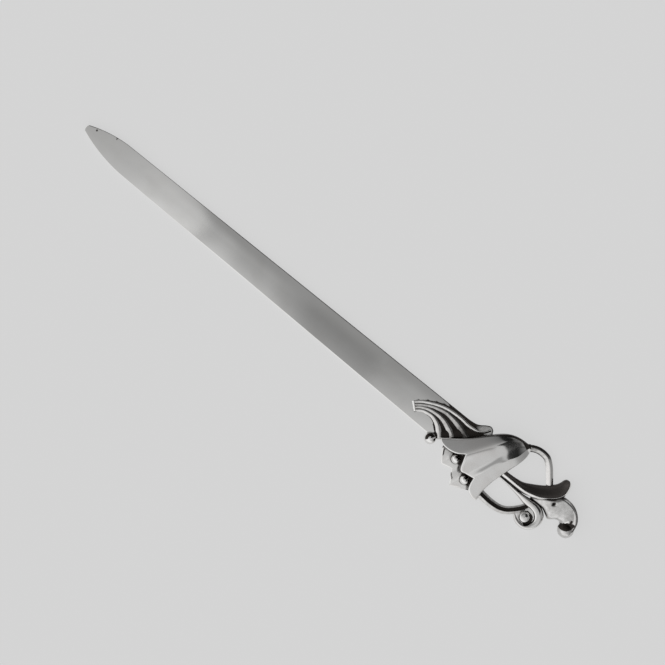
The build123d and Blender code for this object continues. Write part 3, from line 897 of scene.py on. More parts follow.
def plate_painted_shadow(points):
    """Painted shadow around the beads, under the bell's mouth and along a short line on each petal."""
    at, across = on_bell(points)
    mouth = np.vstack([smooth_path(part, 60) for part in MOUTH])
    wide = 1.3 + 0.7 * np.max([np.exp(-((across - notch) / 2.2) ** 2) for notch in NOTCHES], axis=0)
    # painted shadow under the bell's mouth, wider below its notches
    darkening = 0.4 * (1 - ease(at - np.interp(across, mouth[:, 0], mouth[:, 1]), 0.35 * wide, 1.2 * wide))
    for bead in STAMEN_PLACES:
        # painted shadow around each bead
        darkening = darkening + 0.25 * (1 - ease(around(bead, points)[0] - STAMEN_RADIUS, 0.1, 0.8))
    for fold in PETAL_SHADOW_LINES:
        # a painted line of shadow on each back petal
        _nearest, gap = nearest_on(smooth_path(fold, 20), points)
        darkening = np.maximum(darkening, 0.55 * (1 - ease(gap, 0.12, 0.42)))
    return 0.6, darkening * (points[:, 2] > 0.5)


darken_with(plate_painted_shadow, "blossom_back")

# %% [markdown]
# ## Beads and balls
# Five balls sit in the ornament: grains of silver melted round and soldered on. Five spheres could be
# added one by one, but one Geometry Nodes tree used five times keeps them alike. Its inputs are the
# radius, the place, how far the ball is squashed to a button, and the seat that flattens it underneath.

# %% Geometry Nodes tree for a bead
def new_tree(name, inputs):
    """A Geometry Nodes tree with these inputs and a material; also returns its inside sockets."""
    tree = bpy.data.node_groups.new(name, "GeometryNodeTree")
    for label, kind in {"Geometry": "Geometry", **inputs, "Silver": "Material"}.items():
        tree.interface.new_socket(label, in_out="INPUT", socket_type="NodeSocket" + kind)
    tree.interface.new_socket("Geometry", in_out="OUTPUT", socket_type="NodeSocketGeometry")
    return tree, tree.nodes.new("NodeGroupInput").outputs


def positions(tree):
    """X, Y and Z of the points that a tree works on."""
    spot = node_out(tree, "GeometryNodeInputPosition")
    return add_node(tree, "ShaderNodeSeparateXYZ", {0: spot}).outputs


def moved(tree, geometry, position):
    """Geometry with its points set to a position."""
    return node_out(tree, "GeometryNodeSetPosition", {"Geometry": geometry, "Position": position})


def finish_tree(tree, geometry, material):
    """Every tree ends the same way: realize the instances and set the material."""
    real = node_out(tree, "GeometryNodeRealizeInstances", {0: geometry})
    painted = node_out(tree, "GeometryNodeSetMaterial", {"Geometry": real, "Material": material})
    add_node(tree, "NodeGroupOutput", {0: painted})
    print("tree", tree.name, len(tree.nodes), "nodes")
    return tree


def make_bead_tree():
    """A sphere instanced on one point, squashed, and flattened at its seat."""
    tree, given = new_tree("bead", {"Radius": "Float", "Place": "Vector", "Squash": "Float", "Seat": "Float"})
    ball = node_out(tree, "GeometryNodeMeshUVSphere", {
        "Segments": 56, "Rings": 36, "Radius": given["Radius"]})
    spot = node_out(tree, "GeometryNodePoints", {"Count": 1, "Position": given["Place"]})
    scale = node_out(tree, "ShaderNodeCombineXYZ", {0: 1.0, 1: 1.0, 2: given["Squash"]})
    balls = node_out(tree, "GeometryNodeInstanceOnPoints", {"Points": spot, "Instance": ball, "Scale": scale})
    real = node_out(tree, "GeometryNodeRealizeInstances", {0: balls})
    x, y, z = positions(tree)
    seated = math_node(tree, "MAXIMUM", z, given["Seat"])
    flattened = moved(tree, real, node_out(tree, "ShaderNodeCombineXYZ", {0: x, 1: y, 2: seated}))
    return finish_tree(tree, flattened, given["Silver"])


bead_tree = make_bead_tree()

# %% Five beads
def grow(name, tree, values, source=None):
    """Runs a tree on an object with these input values and returns the plain mesh."""
    maker = place_object(name + "_maker", source or bpy.data.meshes.new(name))
    modifier = maker.modifiers.new(tree.name, "NODES")
    modifier.node_group = tree
    sockets = {item.name: item.identifier for item in tree.interface.items_tree if item.in_out == "INPUT"}
    for label, value in values.items():
        modifier[sockets[label]] = value
    return plain_mesh(maker)


# each: radius, place, squash and seat
BEADS = {
    "shoulder_bead": (2.25, (13.27, -7.5, 2.2), 1.0, 0.0),
    "upper_stamen_bead": (STAMEN_RADIUS, (*STAMEN_PLACES[0], 2.9), 1.0, 1.6),
    "lower_stamen_bead": (STAMEN_RADIUS, (*STAMEN_PLACES[1], 2.9), 1.0, 1.6),
    "scroll_eye": (1.95, (57.85, -8.1, 2.2), 0.5, 1.0),
    "bud_ball": (3.1, (72.15, -2.0, 2.3), 1.0, 0.0),
}
for name, (radius, place, squash, seat) in BEADS.items():
    bead_mesh = grow(name, bead_tree, {
        "Radius": radius * MM,
        "Place": tuple(v * MM for v in place),
        "Squash": squash,
        "Seat": seat * MM,
        "Silver": finishes["bead_silver"],
    })
    add_piece(name, bead_mesh, "bead_silver", sharp=60)

# %% Beads: tarnish and painted reflections
def shoulder_tarnish_and_reflection(points):
    """A black C on the side of the ball that lies against the leaf: tarnished in the groove there, and a
    painted dark reflection.
    """
    radius, place = BEADS["shoulder_bead"][:2]
    far, heading = around(place, points)
    heading = heading % 360
    # the C is partly tarnish and partly a painted dark reflection
    band = ease(far / radius, 0.25, 0.4) * (1 - ease(far / radius, 0.75, 0.9))
    return 1.0, band * ease(heading, 40, 75) * (1 - ease(heading, 215, 255))


def stamen_painted_reflection(points):
    """A painted dark reflection: a dark spot on the upper side of each ball in the bell's mouth."""
    darkening = np.zeros(len(points))
    for place in STAMEN_PLACES:
        # painted dark reflection on the upper side of each ball
        spot = np.array(place) + STAMEN_RADIUS * np.array([-0.15, 0.42])
        darkening += 1 - ease(around(spot, points)[0] / STAMEN_RADIUS, 0.12, 0.4)
    return 0.55, 0.8 * darkening


darken_with(shoulder_tarnish_and_reflection, "shoulder_bead")
darken_with(stamen_painted_reflection, "upper_stamen_bead", "lower_stamen_bead")

# %% [markdown]
# ## Wires: stem, tendril and ribs
# The stem loops from the bell's neck to the channelled leaf, the tendril sweeps from the lower petal to
# the scroll, and four ribs fan out over the leaf on the blade's root. All are drawn wire with a crest
# along it, so one Geometry Nodes tree sweeps a crested section along a curve. Its inputs set the width,
# the height, how sharp the crest is, how far it lies off the middle, and the taper from end to end. A
# bevelled curve would be quicker, but its section is the same on both sides.

# %% Wire tree
WIRE_INPUTS = ("Half Width", "Height", "Depth", "Crest Shift", "Crest Power", "Start Share", "End Share",
               "Taper Power")


def make_wire_tree():
    """A circle bent to the crested section, swept along a curve."""
    tree, given = new_tree("crested_wire", dict.fromkeys(WIRE_INPUTS, "Float"))

    def calc(operation, *values):
        return math_node(tree, operation, *values)

    path = node_out(tree, "GeometryNodeResampleCurve", {"Curve": given["Geometry"], "Count": 120})
    upright = node_out(tree, "GeometryNodeSetCurveNormal", {"Curve": path}, mode="Z_UP")
    share = add_node(tree, "GeometryNodeSplineParameter").outputs["Factor"]
    taper = mix_node(tree, "FLOAT", calc("POWER", share, given["Taper Power"]), given["Start Share"],
                     given["End Share"])
    ring = node_out(tree, "GeometryNodeCurvePrimitiveCircle", {"Resolution": 40, "Radius": 1.0},
                    mode="RADIUS")
    x, y, _z = positions(tree)
    off = calc("SUBTRACT", x, given["Crest Shift"])
    reach = calc("SUBTRACT", 1.0, calc("MULTIPLY", given["Crest Shift"], calc("SIGN", off)))
    fall = calc("POWER", calc("DIVIDE", calc("ABSOLUTE", off), reach), given["Crest Power"])
    crest = calc("MULTIPLY", calc("SUBTRACT", 1.0, fall), given["Height"])
    flat = calc("MULTIPLY", calc("POWER", calc("ABSOLUTE", y), 0.4), -1.0)
    under = calc("MULTIPLY", flat, given["Depth"])
    level = mix_node(tree, "FLOAT", calc("GREATER_THAN", y, 0.0), under, crest)
    spot = node_out(tree, "ShaderNodeCombineXYZ", {
        0: calc("MULTIPLY", x, given["Half Width"]), 1: calc("MULTIPLY", level, -1.0)})
    swept = node_out(tree, "GeometryNodeCurveToMesh", {
        "Curve": upright, "Profile Curve": moved(tree, ring, spot), "Scale": taper, "Fill Caps": True})
    return finish_tree(tree, swept, given["Silver"])


wire_tree = make_wire_tree()

# %% Stem and tendril along their paths
def edge_curve(name, points):
    """A curve through points in millimetres, as a poly spline."""
    data = bpy.data.curves.new(name, "CURVE")
    data.dimensions = "3D"
    spline = data.splines.new("POLY")
    path = smooth_path(points, 160)
    spline.points.add(len(path) - 1)
    for point, spot in zip(spline.points, path):
        point.co = (*(spot * MM), 1)
    return data


def drawn_wire(name, path, half, height, depth, shift, power, start=1.0, end=1.0, taper=1.0):
    """A wire along a path, with its sizes in millimetres."""
    values = (half * MM, height * MM, depth * MM, shift, power, start, end, taper)
    return grow(name, wire_tree, {**dict(zip(WIRE_INPUTS, values)), "Silver": finishes["ornament_silver"]},
                edge_curve(name + "_path", path))


STEM_PATH = ((42.0, 11.2, 2.4), (43.7, 12.75, 2.3), (46.0, 13.85, 2.2), (48.4, 14.15, 2.1), (50.8, 13.7, 2.0),
             (53.2, 11.85, 1.9), (55.5, 9.25, 1.7), (57.2, 7.2, 1.5), (58.4, 5.7, 1.2))
TENDRIL_PATH = ((36.8, -11.2, 1.3), (40.3, -11.5, 1.3), (44.5, -11.75, 1.3), (48.3, -11.4, 1.3),
                (51.2, -10.15, 1.3), (53.6, -7.95, 1.3), (55.3, -5.8, 1.3), (56.4, -4.2, 1.3))
stem_mesh = drawn_wire("stem", STEM_PATH, 1.3, 0.75, 1.1, -0.15, 1.3)
add_piece("stem", stem_mesh, "ornament_silver", sharp=50)
tendril_mesh = drawn_wire("tendril", TENDRIL_PATH, 1.7, 0.55, 1.2, 0.3, 0.5, 1.0, 0.8)
add_piece("tendril", tendril_mesh, "ornament_silver", sharp=50)

# %% Stem and tendril: their dullness and painted shade
def left_of(path, points):
    """For every point: its distance to the left of a path."""
    line = smooth_path(path, 120)[:, :2]
    nearest, _gap = nearest_on(line, points)
    ahead = np.gradient(line, axis=0)[nearest]
    off = points[:, :2] - line[nearest]
    return (ahead[:, 0] * off[:, 1] - ahead[:, 1] * off[:, 0]) / (np.linalg.norm(ahead, axis=1) + TINY)


def stem_dullness_and_painted_edges(points):
    """Dull as far as the loop's top, with painted shade as a dark line along both edges, and brighter beyond
    it.
    """
    left = left_of(STEM_PATH, points)
    past_loop_top = ease(points[:, 0], 49.0, 53.5)
    dull = blend(0.37, 0.32, ease(points[:, 0], 44.0, 48.0)) - 0.07 * past_loop_top
    # painted shade: a dark line along both edges, gone past the loop's top
    edges = 0.12 * (1 - ease(left, -1.15, -0.75)) + 0.3 * ease(left, 0.55, 0.85)
    return 0.5 * (1 - 0.7 * past_loop_top), dull + (1 - past_loop_top) * edges


def tendril_dullness_and_painted_band(points):
    """Dull, with a painted dark reflection as a black band along the middle."""
    left = left_of(TENDRIL_PATH, points)
    # painted dark reflection along the middle of the wire
    band = 1 - ease(np.abs(left - 0.15), 0.35, 0.75)
    return 0.3, blend(0.31, 0.34, ease(left, 0.6, 1.0)) + 0.6 * band * (points[:, 2] > 0.9)


darken_with(stem_dullness_and_painted_edges, "stem")
darken_with(tendril_dullness_and_painted_band, "tendril")

# %% [markdown]
# ## Fluted leaf
# Under the ribs lies a thin sheet of silver, soldered on the blade's root and blackened between the
# ribs; at its upper end it swells into a lip. The sheet follows two edge curves, so a second tree lays
# a grid between them. The ribs are the crested wires from above, tapered towards the cut end, and two
# more short wires round off the cut end and the lip.

# %% Sheet tree
def make_sheet_tree():
    """Two grids between the edge curves: the bed, and the face above it."""
    edges = ("Lower Edge", "Upper Edge")
    tree, given = new_tree("leaf_sheet", {**dict.fromkeys(edges, "Object"), "Web": "Float", "Lip": "Float"})
    grid = node_out(tree, "GeometryNodeMeshGrid", {
        "Size X": 1.0, "Size Y": 1.0, "Vertices X": 110, "Vertices Y": 40})
    x, y, _z = positions(tree)
    u = math_node(tree, "ADD", x, 0.5)
    v = math_node(tree, "ADD", y, 0.5)
    spots = []
    for label in edges:
        curve = add_node(tree, "GeometryNodeObjectInfo", {"Object": given[label]}).outputs["Geometry"]
        sample = add_node(tree, "GeometryNodeSampleCurve", {"Curves": curve, "Factor": u},
                          mode="FACTOR", use_all_curves=True)
        spots.append(sample.outputs["Position"])
    bed = mix_node(tree, "VECTOR", v, *spots)
    swell = math_node(tree, "MULTIPLY", soft_step(tree, u, 0.72, 0.93), soft_step(tree, v, 1.0, 0.45))
    thick = math_node(tree, "ADD", math_node(tree, "MULTIPLY", swell, given["Lip"]), given["Web"])
    lift = node_out(tree, "ShaderNodeCombineXYZ", {2: thick})
    top = node_out(tree, "ShaderNodeVectorMath", {0: bed, 1: lift}, operation="ADD")
    both = add_node(tree, "GeometryNodeJoinGeometry")
    for spot in (bed, top):
        tree.links.new(moved(tree, grid, spot), both.inputs[0])
    return finish_tree(tree, both.outputs[0], given["Silver"])


sheet_tree = make_sheet_tree()

# %% Sheet on the blade's root
LEAF_LOWER = ((2.9, -3.7), (4.6, -2.2), (7.6, -1.5), (10.4, -2.5), (12.4, -4.3), (15.2, -6.0))
LEAF_UPPER = ((0.0, -0.9), (3.5, 2.3), (9.5, 5.3), (16.5, 6.4), (23.0, 7.1), (26.2, 9.0), (27.8, 9.7),
              (29.2, 9.1), (29.9, 7.8))
SHEET_BED = BLADE_THICK - 0.3


def raised(points, level):
    """Points in the plane, brought to a height above the sheet's bed."""
    return [(x, y, SHEET_BED + level) for x, y in points]


def close_sides(mesh):
    """Joins the rims of the two grids in a mesh, so that the sheet is one closed body."""
    shape = bmesh.new()
    shape.from_mesh(mesh)
    bmesh.ops.bridge_loops(shape, edges=[edge for edge in shape.edges if edge.is_boundary])
    bmesh.ops.recalc_face_normals(shape, faces=shape.faces)
    shape.to_mesh(mesh)
    shape.free()


guides = [place_object(name, edge_curve(name, raised(edge, 0.0)))
          for name, edge in (("leaf_lower_edge", LEAF_LOWER), ("leaf_upper_edge", LEAF_UPPER))]
sheet_mesh = grow("leaf_sheet", sheet_tree, {
    "Lower Edge": guides[0], "Upper Edge": guides[1], "Web": 0.75 * MM, "Lip": 0.55 * MM,
    "Silver": finishes["ornament_silver"]})
for holder in guides:
    bpy.data.objects.remove(holder)
close_sides(sheet_mesh)
sheet_count = len(sheet_mesh.vertices)
print("sheet:", sheet_count, "points")

# %% Ribs, cut end and lip
# each: path, half width at the bell, taper and dullness
RIBS = (
    (((0.35, -1.1), (2.6, 0.9), (6.0, 2.75), (9.0, 4.0), (12.0, 4.75), (15.0, 5.05), (18.0, 5.1),
      (21.0, 4.85), (24.7, 5.15), (26.2, 5.85)), 0.55, 1.0, 0.3),
    (((1.05, -1.8), (2.9, -0.3), (6.0, 1.55), (9.0, 2.6), (12.0, 3.25), (15.0, 3.1), (18.0, 2.6),
      (21.0, 1.75), (23.8, 0.7)), 1.45, 2.2, 0.35),
    (((1.8, -2.5), (3.3, -1.1), (6.0, 0.2), (9.0, 0.75), (12.0, 0.75), (15.0, -0.1), (17.8, -1.45),
      (19.9, -3.2)), 1.3, 1.5, 0.33),
    (((2.55, -3.25), (4.3, -1.85), (6.0, -1.2), (9.0, -0.9), (12.0, -2.0), (14.0, -3.6),
      (15.7, -5.5)), 1.15, 1.2, 0.28),
)
RIB_START = 0.48
CUT_END = ((-0.05, -0.95), (1.35, -2.2), (2.8, -3.5))
LIP_EDGE = ((25.0, 5.25), (27.2, 6.5), (28.6, 8.6))


def join_meshes(name, meshes):
    """Several meshes as one."""
    shape = bmesh.new()
    for mesh in meshes:
        shape.from_mesh(mesh)
    joined = bpy.data.meshes.new(name)
    shape.to_mesh(joined)
    shape.free()
    return joined


rib_meshes = []
rib_darkening = []
for number, (path, widest, taper, patina) in enumerate(RIBS):
    crest = [(x, y, SHEET_BED + 0.7 + 0.3 * min(k, 4) / 4 + 0.5 * float(ease(x + y, 24.0, 31.0)))
             for k, (x, y) in enumerate(path)]
    rib = drawn_wire(f"rib_{number}", crest, widest, 0.5 * widest, 0.9, -0.3, 1.4,
                     start=RIB_START / widest, taper=taper)
    rib_meshes.append(rib)
    # ribs after the first are darker near the bell
    near_bell_darkening = 0.08 * min(number, 1)
    rib_darkening += [patina + near_bell_darkening * float(ease(v.co.x / MM, 17.0, 22.0)) for v in rib.vertices]
rib_meshes.append(drawn_wire("cut_end", raised(CUT_END, 0.8), 0.42, 0.26, 0.7, -0.6, 1.4))
rib_meshes.append(drawn_wire("lip_edge", raised(LIP_EDGE, 1.4), 0.5, 0.25, 0.9, -0.8, 1.2, 0.9, 0.7))
leaf_mesh = join_meshes("fluted_leaf", [sheet_mesh] + rib_meshes)
add_piece("fluted_leaf", leaf_mesh, "ornament_silver", sharp=50)

# %% Fluted leaf: its tarnish and painted shade
def leaf_tarnish_and_shade(points):
    """The sheet is black between the ribs and grey on its lip, with painted shade along its upper edge; the
    ribs are dull, and darker still near the bell.
    """
    darkening = np.zeros(len(points))
    kept = np.full(len(points), 0.5)
    sheet = points[:sheet_count]
    lip = ease(sheet[:, 0], 20.0, 25.5) * ease(sheet[:, 1], 4.6, 6.2)
    # painted shade along the sheet's upper edge
    rim = 1 - ease(np.abs(left_of(LEAF_UPPER, sheet)), 0.2, 0.5)
    darkening[:sheet_count] = np.maximum(0.75 - 0.42 * lip, 0.6 * rim)
    kept[:sheet_count] = 1 - lip
    darkening[sheet_count:sheet_count + len(rib_darkening)] = rib_darkening
    return kept, darkening


darken_with(leaf_tarnish_and_shade, "fluted_leaf")

# %% [markdown]
# ## Channelled leaf
# A long leaf with a bright crest along its lower edge; the face behind the crest is hollowed and left
# black. A bevelled strip would have one section all along, and this one widens and curls, so it is a
# grid between its two edges: the section rises to the crest and dips behind it, and a narrow black seam
# of solder joins it to the scroll below.

# %% Channelled leaf between its crest and its upper edge
LOWER_LINE = ((37.0, -1.4), (43.3, -1.5), (50.9, -1.4), (54.7, -0.75), (58.0, 0.7), (60.4, 2.4), (62.4, 4.1),
              (63.75, 5.9), (64.35, 7.9), (64.2, 10.0), (63.4, 11.75), (62.3, 12.5))
CREST_LINE = ((37.0, -0.6), (43.3, -0.72), (50.9, -0.62), (54.7, 0.13), (57.8, 1.3), (60.3, 2.9),
              (62.1, 4.45), (63.35, 6.15), (63.9, 7.9), (63.75, 9.9), (63.1, 11.5), (62.25, 12.35))
UPPER_LINE = ((37.0, 0.85), (43.3, 0.85), (47.1, 1.15), (49.8, 1.7), (52.8, 3.3), (55.5, 5.0), (57.2, 6.3),
              (58.6, 7.8), (59.5, 8.8), (60.2, 10.2), (60.55, 11.4), (61.2, 12.3), (62.1, 12.5))
LEAF_ROWS = 130
CHANNEL_TALL = 4.7
CREST_DROP = 0.35
SEAM_WIDTH = 0.6
channel_rows = []
channel_stain = []
channel_lines = [smooth_path(line, LEAF_ROWS) for line in (LOWER_LINE, CREST_LINE, UPPER_LINE)]
for i, (low, crest_at, high) in enumerate(zip(*channel_lines)):
    way = i / LEAF_ROWS
    tall = CHANNEL_TALL * blend(0.8, 1.0, float(ease(way, 0.0, 0.5)))
    wide = max(float(np.linalg.norm(high - crest_at)), 0.05)
    step = min(CREST_DROP / wide, 0.4)
    downhill = (low - crest_at) / (np.linalg.norm(low - crest_at) + TINY)
    seam = low + downhill * SEAM_WIDTH * (1 - float(ease(way, 0.35, 0.5)))
    section = [(seam, 0.0, 1.0), (seam, 1.3, 1.0), (low, 1.35, 1.0)]
    for t in np.linspace(0, 1, 7):
        section.append((blend(low, crest_at, t), tall * blend(0.84, 1.0, t**0.8), 0.25 * (1 - t)))
    for t in np.linspace(0.25, 1, 4):
        section.append((blend(crest_at, high, step * t), tall * (1 - 0.16 * t * t), 0.7 * t * t))
    for t in np.linspace(0.05, 1, 20):
        dip = tall * blend(0.84, 0.56, float(ease(t, 0.0, 0.9))) - 0.5 * max(0.0, (t - 0.9) / 0.1) ** 2
        section.append((blend(crest_at, high, blend(step, 1.0, t)), dip, 1.0))
    section.append((high, 0.0, 1.0))
    channel_rows.append([(*place, z) for place, z, _ in section])
    channel_stain.append([dark for _, _, dark in section])
channel_rows = np.array(channel_rows)
channel_mesh = mesh_from("channel_leaf", channel_rows, tube_faces(*channel_rows.shape[:2]))
add_piece("channel_leaf", channel_mesh, "oxidised_silver", sharp=40)

# %% Channelled leaf: its tarnish
def channel_tarnish(points):
    """Black behind the crest and bright on it: every point takes the stain of its place in the grid."""
    known = KDTree(channel_rows.size // 3)
    for index, spot in enumerate(channel_rows.reshape(-1, 3)):
        known.insert(spot, index)
    known.balance()
    stains = np.array(channel_stain).ravel()
    return 0.3, np.array([stains[known.find(spot)[1]] for spot in points])


darken_with(channel_tarnish, "channel_leaf")

# %% [markdown]
# ## Scroll
# A strap leaves the bell and rolls up around a bead. A bevelled curve would keep one width, so the strap
# is drawn by its two edges: the outer one runs over the crown and round the volute, the inner one round
# the roll. Every section between them is a rounded bar, and a thin disc closes the roll behind the bead.

# %% Strap between its outer and inner edge
STRAP_OUTER = ((37.0, -1.6), (43.3, -1.95), (50.9, -1.9), (55.5, -1.4), (58.5, -1.1), (60.4, -1.35),
               (62.2, -2.4), (63.45, -3.9), (64.0, -5.6), (63.95, -7.2), (63.1, -9.2), (61.3, -11.1),
               (58.7, -11.9), (56.0, -11.4), (54.4, -10.2), (53.9, -9.4))
STRAP_INNER = ((37.0, -2.5), (43.3, -2.75), (47.1, -3.2), (50.9, -3.75), (54.3, -4.4), (57.0, -4.35),
               (59.2, -4.75), (60.7, -6.1), (61.0, -7.6), (60.4, -9.1), (58.9, -10.1), (57.2, -10.2),
               (55.7, -9.75), (54.7, -9.2), (54.0, -8.9))
STRAP_ROWS = 240
STRAP_SIDE = 1.2
STRAP_CROWN = 2.0
ROLL = np.array([58.0, -7.15])
DISC_RINGS = (0.02, 1.0, 1.5, 1.8, 2.1, 2.4, 2.7, 3.0, 3.35)
DISC_TOP = 1.0
strap_ring = []
for angle in np.linspace(0, math.pi, 22):
    share = 0.5 + 0.5 * math.copysign(abs(math.cos(angle)) ** 0.8, math.cos(angle))
    strap_ring.append((share, STRAP_SIDE + STRAP_CROWN * abs(math.sin(angle)) ** 0.75))
strap_ring += [(0.0, 0.0), (1.0, 0.0)]
strap_edges = zip(smooth_path(STRAP_OUTER, STRAP_ROWS), smooth_path(STRAP_INNER, STRAP_ROWS))
strap_rows = np.array([[(*blend(inn, out, share), z) for share, z in strap_ring] for out, inn in strap_edges])


def disc_ring(radius, level):
    """A circle of points around the roll's middle."""
    turns = np.radians(np.linspace(0, 360, 65)[:-1])
    return [(*(ROLL + radius * np.array([math.cos(a), math.sin(a)])), level) for a in turns]


disc = np.array([disc_ring(r, DISC_TOP) for r in DISC_RINGS] + [disc_ring(r, 0.0) for r in DISC_RINGS[::-1]])
strap_points = strap_rows.reshape(-1, 3)
strap_faces = tube_faces(*strap_rows.shape[:2])
strap_faces += [tuple(len(strap_points) + k for k in face) for face in tube_faces(*disc.shape[:2])]
strap_mesh = mesh_from("scroll_strap", np.vstack([strap_points, disc.reshape(-1, 3)]), strap_faces)
add_piece("scroll_strap", strap_mesh, "ornament_silver", sharp=40)

# %% Scroll: its polish, and painted shade around the eye
def strap_polish_and_shade(points):
    """The cloth reaches into the roll; painted shade lies in a crescent beside the eye and in an arc above
    it.
    """
    far, heading = around(BEADS["scroll_eye"][1], points)
    ring = ease(far, 1.6, 1.9) * (1 - ease(far, 2.9, 3.3))
    # painted shade: a crescent on the eye's shadow side
    crescent = ring * ease(heading, -75, -40) * (1 - ease(heading, 35, 75))
    arc = ease(far, 2.0, 2.2) * (1 - ease(far, 2.6, 2.9))
    shade = 0.6 * arc * (1 - ease(heading, 150, 170)) * ease(heading, 30, 50)
    return blend(0.15, 1.0, ease(far, 3.6, 4.6)), crescent + shade


darken_with(strap_polish_and_shade, "scroll_strap")

# %% [markdown]
# ## Bud
# A swelling bud closes the handle and hooks down over its ball. A stretched sphere couldn't hook, so it
# is skinned over rounded sections whose place, heading, width and height change along a path. The
# hook is painted black as shade, with a jagged edge.

# %% Bud over its rounded sections
# each: x, y, heading, width and height
BUD_ROWS = ((55.0, -1.05, 12, 0.9, 2.4), (58.0, -0.15, 14, 2.4, 3.8), (60.4, 0.5, 14, 4.0, 4.4),
            (62.4, 0.85, 10, 6.6, 4.8), (64.4, 1.8, 4, 9.9, 5.1), (68.2, 2.4, -20, 8.6, 5.4),
            (71.0, 0.9, -54, 7.0, 5.3), (72.4, -1.7, -80, 5.0, 4.6))
BUD_COLUMNS = 61
BUD_CREST = 0.72
BUD_SIDE = 0.3
BUD_BACK = 0.92
DIMPLE = np.array([62.9, 2.5])
DIMPLE_DEEP = 0.9
DIMPLE_SPREAD = 0.35


def bud_top(out):
    """The bud's height, 0 to 1, across its width: nearly flat, with a round crest near the upper side."""
    if out > BUD_CREST:
        return math.sqrt(max(1 - ((out - BUD_CREST) / (1 - BUD_CREST)) ** 2, 0))
    return max(1 - ((BUD_CREST - out) / (1 + BUD_CREST)) ** 5, 0) ** (1 / 3) - 0.16 * (BUD_CREST - out)


bud_rows = []
for x, y, heading, width, height in smooth_path(BUD_ROWS, 110):
    turn = math.radians(heading)
    side = np.array([-math.sin(turn), math.cos(turn)])
    ring = []
    for out in np.sin(np.linspace(-math.pi / 2, math.pi / 2, BUD_COLUMNS)):
        place = np.array([x, y]) + side * width / 2 * out
        hollow = DIMPLE_DEEP * math.exp(-float(((place - DIMPLE) ** 2).sum()) / DIMPLE_SPREAD)
        ring.append((*place, BUD_SIDE * height + (1 - BUD_SIDE) * height * bud_top(out) - hollow))
    for out in np.linspace(1, -1, 9):
        ring.append((*(np.array([x, y]) + side * width / 2 * out * BUD_BACK), 0.0))
    bud_rows.append(ring)
bud_rows = np.array(bud_rows)
bud_rim = bud_rows[:, BUD_COLUMNS - 1, :2]
bud_mesh = mesh_from("bud", bud_rows, tube_faces(*bud_rows.shape[:2]))
add_piece("bud", bud_mesh, "blossom_silver", sharp=60)

# %% Bud and its ball: painted shade and painted glints
HOOK_LINE = ((69.3, -2.2), (70.3, -2.0), (71.4, -1.3), (72.4, -0.4), (73.1, 0.7))
HOOK_STEPS = 60
HOOK_SPIKE = ((72.1, 0.2), (71.9, 1.0), (71.75, 1.8))
BUD_GLINT_LINES = (((70.0, 5.1), (71.2, 4.2), (72.0, 3.1), (72.6, 2.2), (73.1, 1.2)),
              ((70.9, 0.8), (70.6, 0.1), (70.3, -0.5), (69.9, -1.0)))


def hook_painted_shade(points):
    """Painted shade: black in the hook between bud and ball, with a jagged edge and a spike."""
    line = smooth_path(HOOK_LINE, HOOK_STEPS)
    nearest, gap = nearest_on(line, points)
    share = nearest / (HOOK_STEPS - 1)
    above = points[:, 1] > line[nearest][:, 1]
    teeth = 0.6 * np.abs((share * 3.5) % 1 - 0.5) * above
    wide = 0.5 + 0.75 * np.sin(math.pi * share) + teeth
    spike = 1 - ease(np.abs(left_of(HOOK_SPIKE, points)), 0.15, 0.4)
    spike = spike * (np.abs(points[:, 1] - 1.0) < 0.9) * (np.abs(points[:, 0] - 71.9) < 1.0)
    return np.maximum(1.0 - ease(gap, wide - 0.2, wide + 0.2), spike)


def painted_glints(points):
    """Painted glints: bright jagged lines on the bud's turned-down end."""
    _nearest, gap = nearest_on(np.vstack([smooth_path(line, 60) for line in BUD_GLINT_LINES]), points)
    return 1 - ease(gap, 0.12, 0.35)


def bud_dullness_and_painted_shade(points):
    """Dull all over, with painted shade against the leaf, along the upper rim, towards the turned-down end
    and in the dimple, and painted glints.
    """
    pit, _heading = around(DIMPLE, points)
    _nearest, rim = nearest_on(bud_rim, points)
    from_leaf = np.abs(left_of(LOWER_LINE, points))
    turned_down = ease(points[:, 0] + 0.3 * points[:, 1], 68.5, 71.5)
    # painted shade: darker towards the turned-down end and along the upper rim
    darkening = 0.4 + 0.03 * turned_down + (0.1 + 0.16 * turned_down) * (1 - ease(rim, 0.25, 1.0))
    # painted shadow against the leaf
    darkening = darkening + 0.12 * (1 - ease(from_leaf, 0.5, 1.4)) * ease(points[:, 1], 1.8, 3.2)
    # painted glints lighten it; the hook and the dimple are painted shade
    return 0.2, darkening - 0.2 * painted_glints(points) + hook_painted_shade(points) + (1.0 - ease(pit, 0.25, 0.6))


def ball_dullness_and_shade(points):
    """Dull, and painted black as shade where the hook lies over it."""
    return 0.2, 0.45 + hook_painted_shade(points)


darken_with(bud_dullness_and_painted_shade, "bud")
darken_with(ball_dullness_and_shade, "bud_ball")

# %% [markdown]
# ## Where tarnish stays, and painted shade
# A polishing cloth misses the corners. From each point of the ornament, short rays go out over the
# half sphere above it; the share that meets silver nearby measures how far it lies in a hollow.
# Painting it all by hand would be possible, but measured from the forms it follows every later change.
# A piece's own function, where it has one, says how much of that it keeps and adds the stains and the
# painted shade that only this piece shows. The sum is stored as `tarnish_and_painted_shade`.

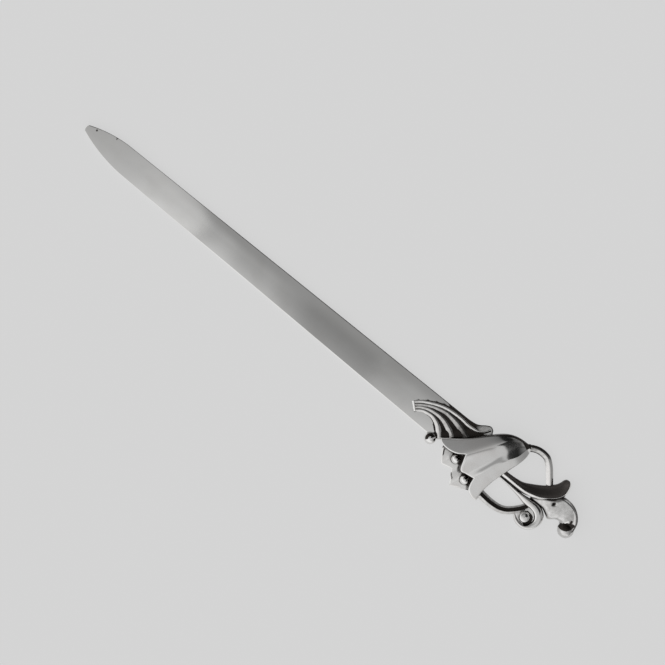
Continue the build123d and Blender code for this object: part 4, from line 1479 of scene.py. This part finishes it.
# %% All the silver as one body, and a fan of rays
RAY_COUNT = 14
RAY_SPREAD = 0.92
GOLDEN_ANGLE = math.pi * (3 - math.sqrt(5))
bpy.context.view_layer.update()
solid_points = []
solid_faces = []
for piece in made_pieces:
    base = len(solid_points)
    solid_points += [v.co.copy() for v in piece.data.vertices]
    solid_faces += [[base + i for i in face.vertices] for face in piece.data.polygons]
silver_tree = BVHTree.FromPolygons(solid_points, solid_faces)
ray_fan = []
for k in range(RAY_COUNT):
    height = math.sqrt(1 - (k + 0.5) / RAY_COUNT * RAY_SPREAD)
    spread = math.sqrt(1 - height * height)
    ray_fan.append((spread * math.cos(k * GOLDEN_ANGLE), spread * math.sin(k * GOLDEN_ANGLE), height))
print("silver:", len(solid_points), "points;", RAY_COUNT, "rays from each")

# %% Measure the recess of every point
RECESS_REACH = 4.5 * MM
RAY_LIFT = 0.03 * MM
BARE_BLADE = -4 * MM
FACING_DOWN = -0.5
for piece in made_pieces:
    mesh = piece.data
    values = np.zeros(len(mesh.vertices))
    normals = [Vector(n.vector) for n in mesh.vertex_normals]
    for index, (vertex, normal) in enumerate(zip(mesh.vertices, normals)):
        if vertex.co.x < BARE_BLADE or normal.z < FACING_DOWN:
            continue
        side = normal.orthogonal().normalized()
        other = normal.cross(side)
        origin = vertex.co + normal * RAY_LIFT
        hits = 0.0
        for a, b, c in ray_fan:
            found = silver_tree.ray_cast(origin, side * a + other * b + normal * c, RECESS_REACH)
            if found[3] is not None:
                hits += 1 - 0.5 * found[3] / RECESS_REACH
        values[index] = hits / RAY_COUNT
    solid = piece.name.removesuffix("_piece")
    if solid in piece_stains_and_shade:
        # the piece's own function keeps part of the measured value and adds stains and painted shade
        places = np.array([v.co for v in mesh.vertices]) / MM
        kept, added = piece_stains_and_shade[solid](places)
        values = np.clip(values * kept + added, 0, 1)
    layer = mesh.attributes.new("tarnish_and_painted_shade", "FLOAT", "POINT")
    layer.data.foreach_set("value", values)
    print(piece.name, "mean recess", round(float(values.mean()), 3))
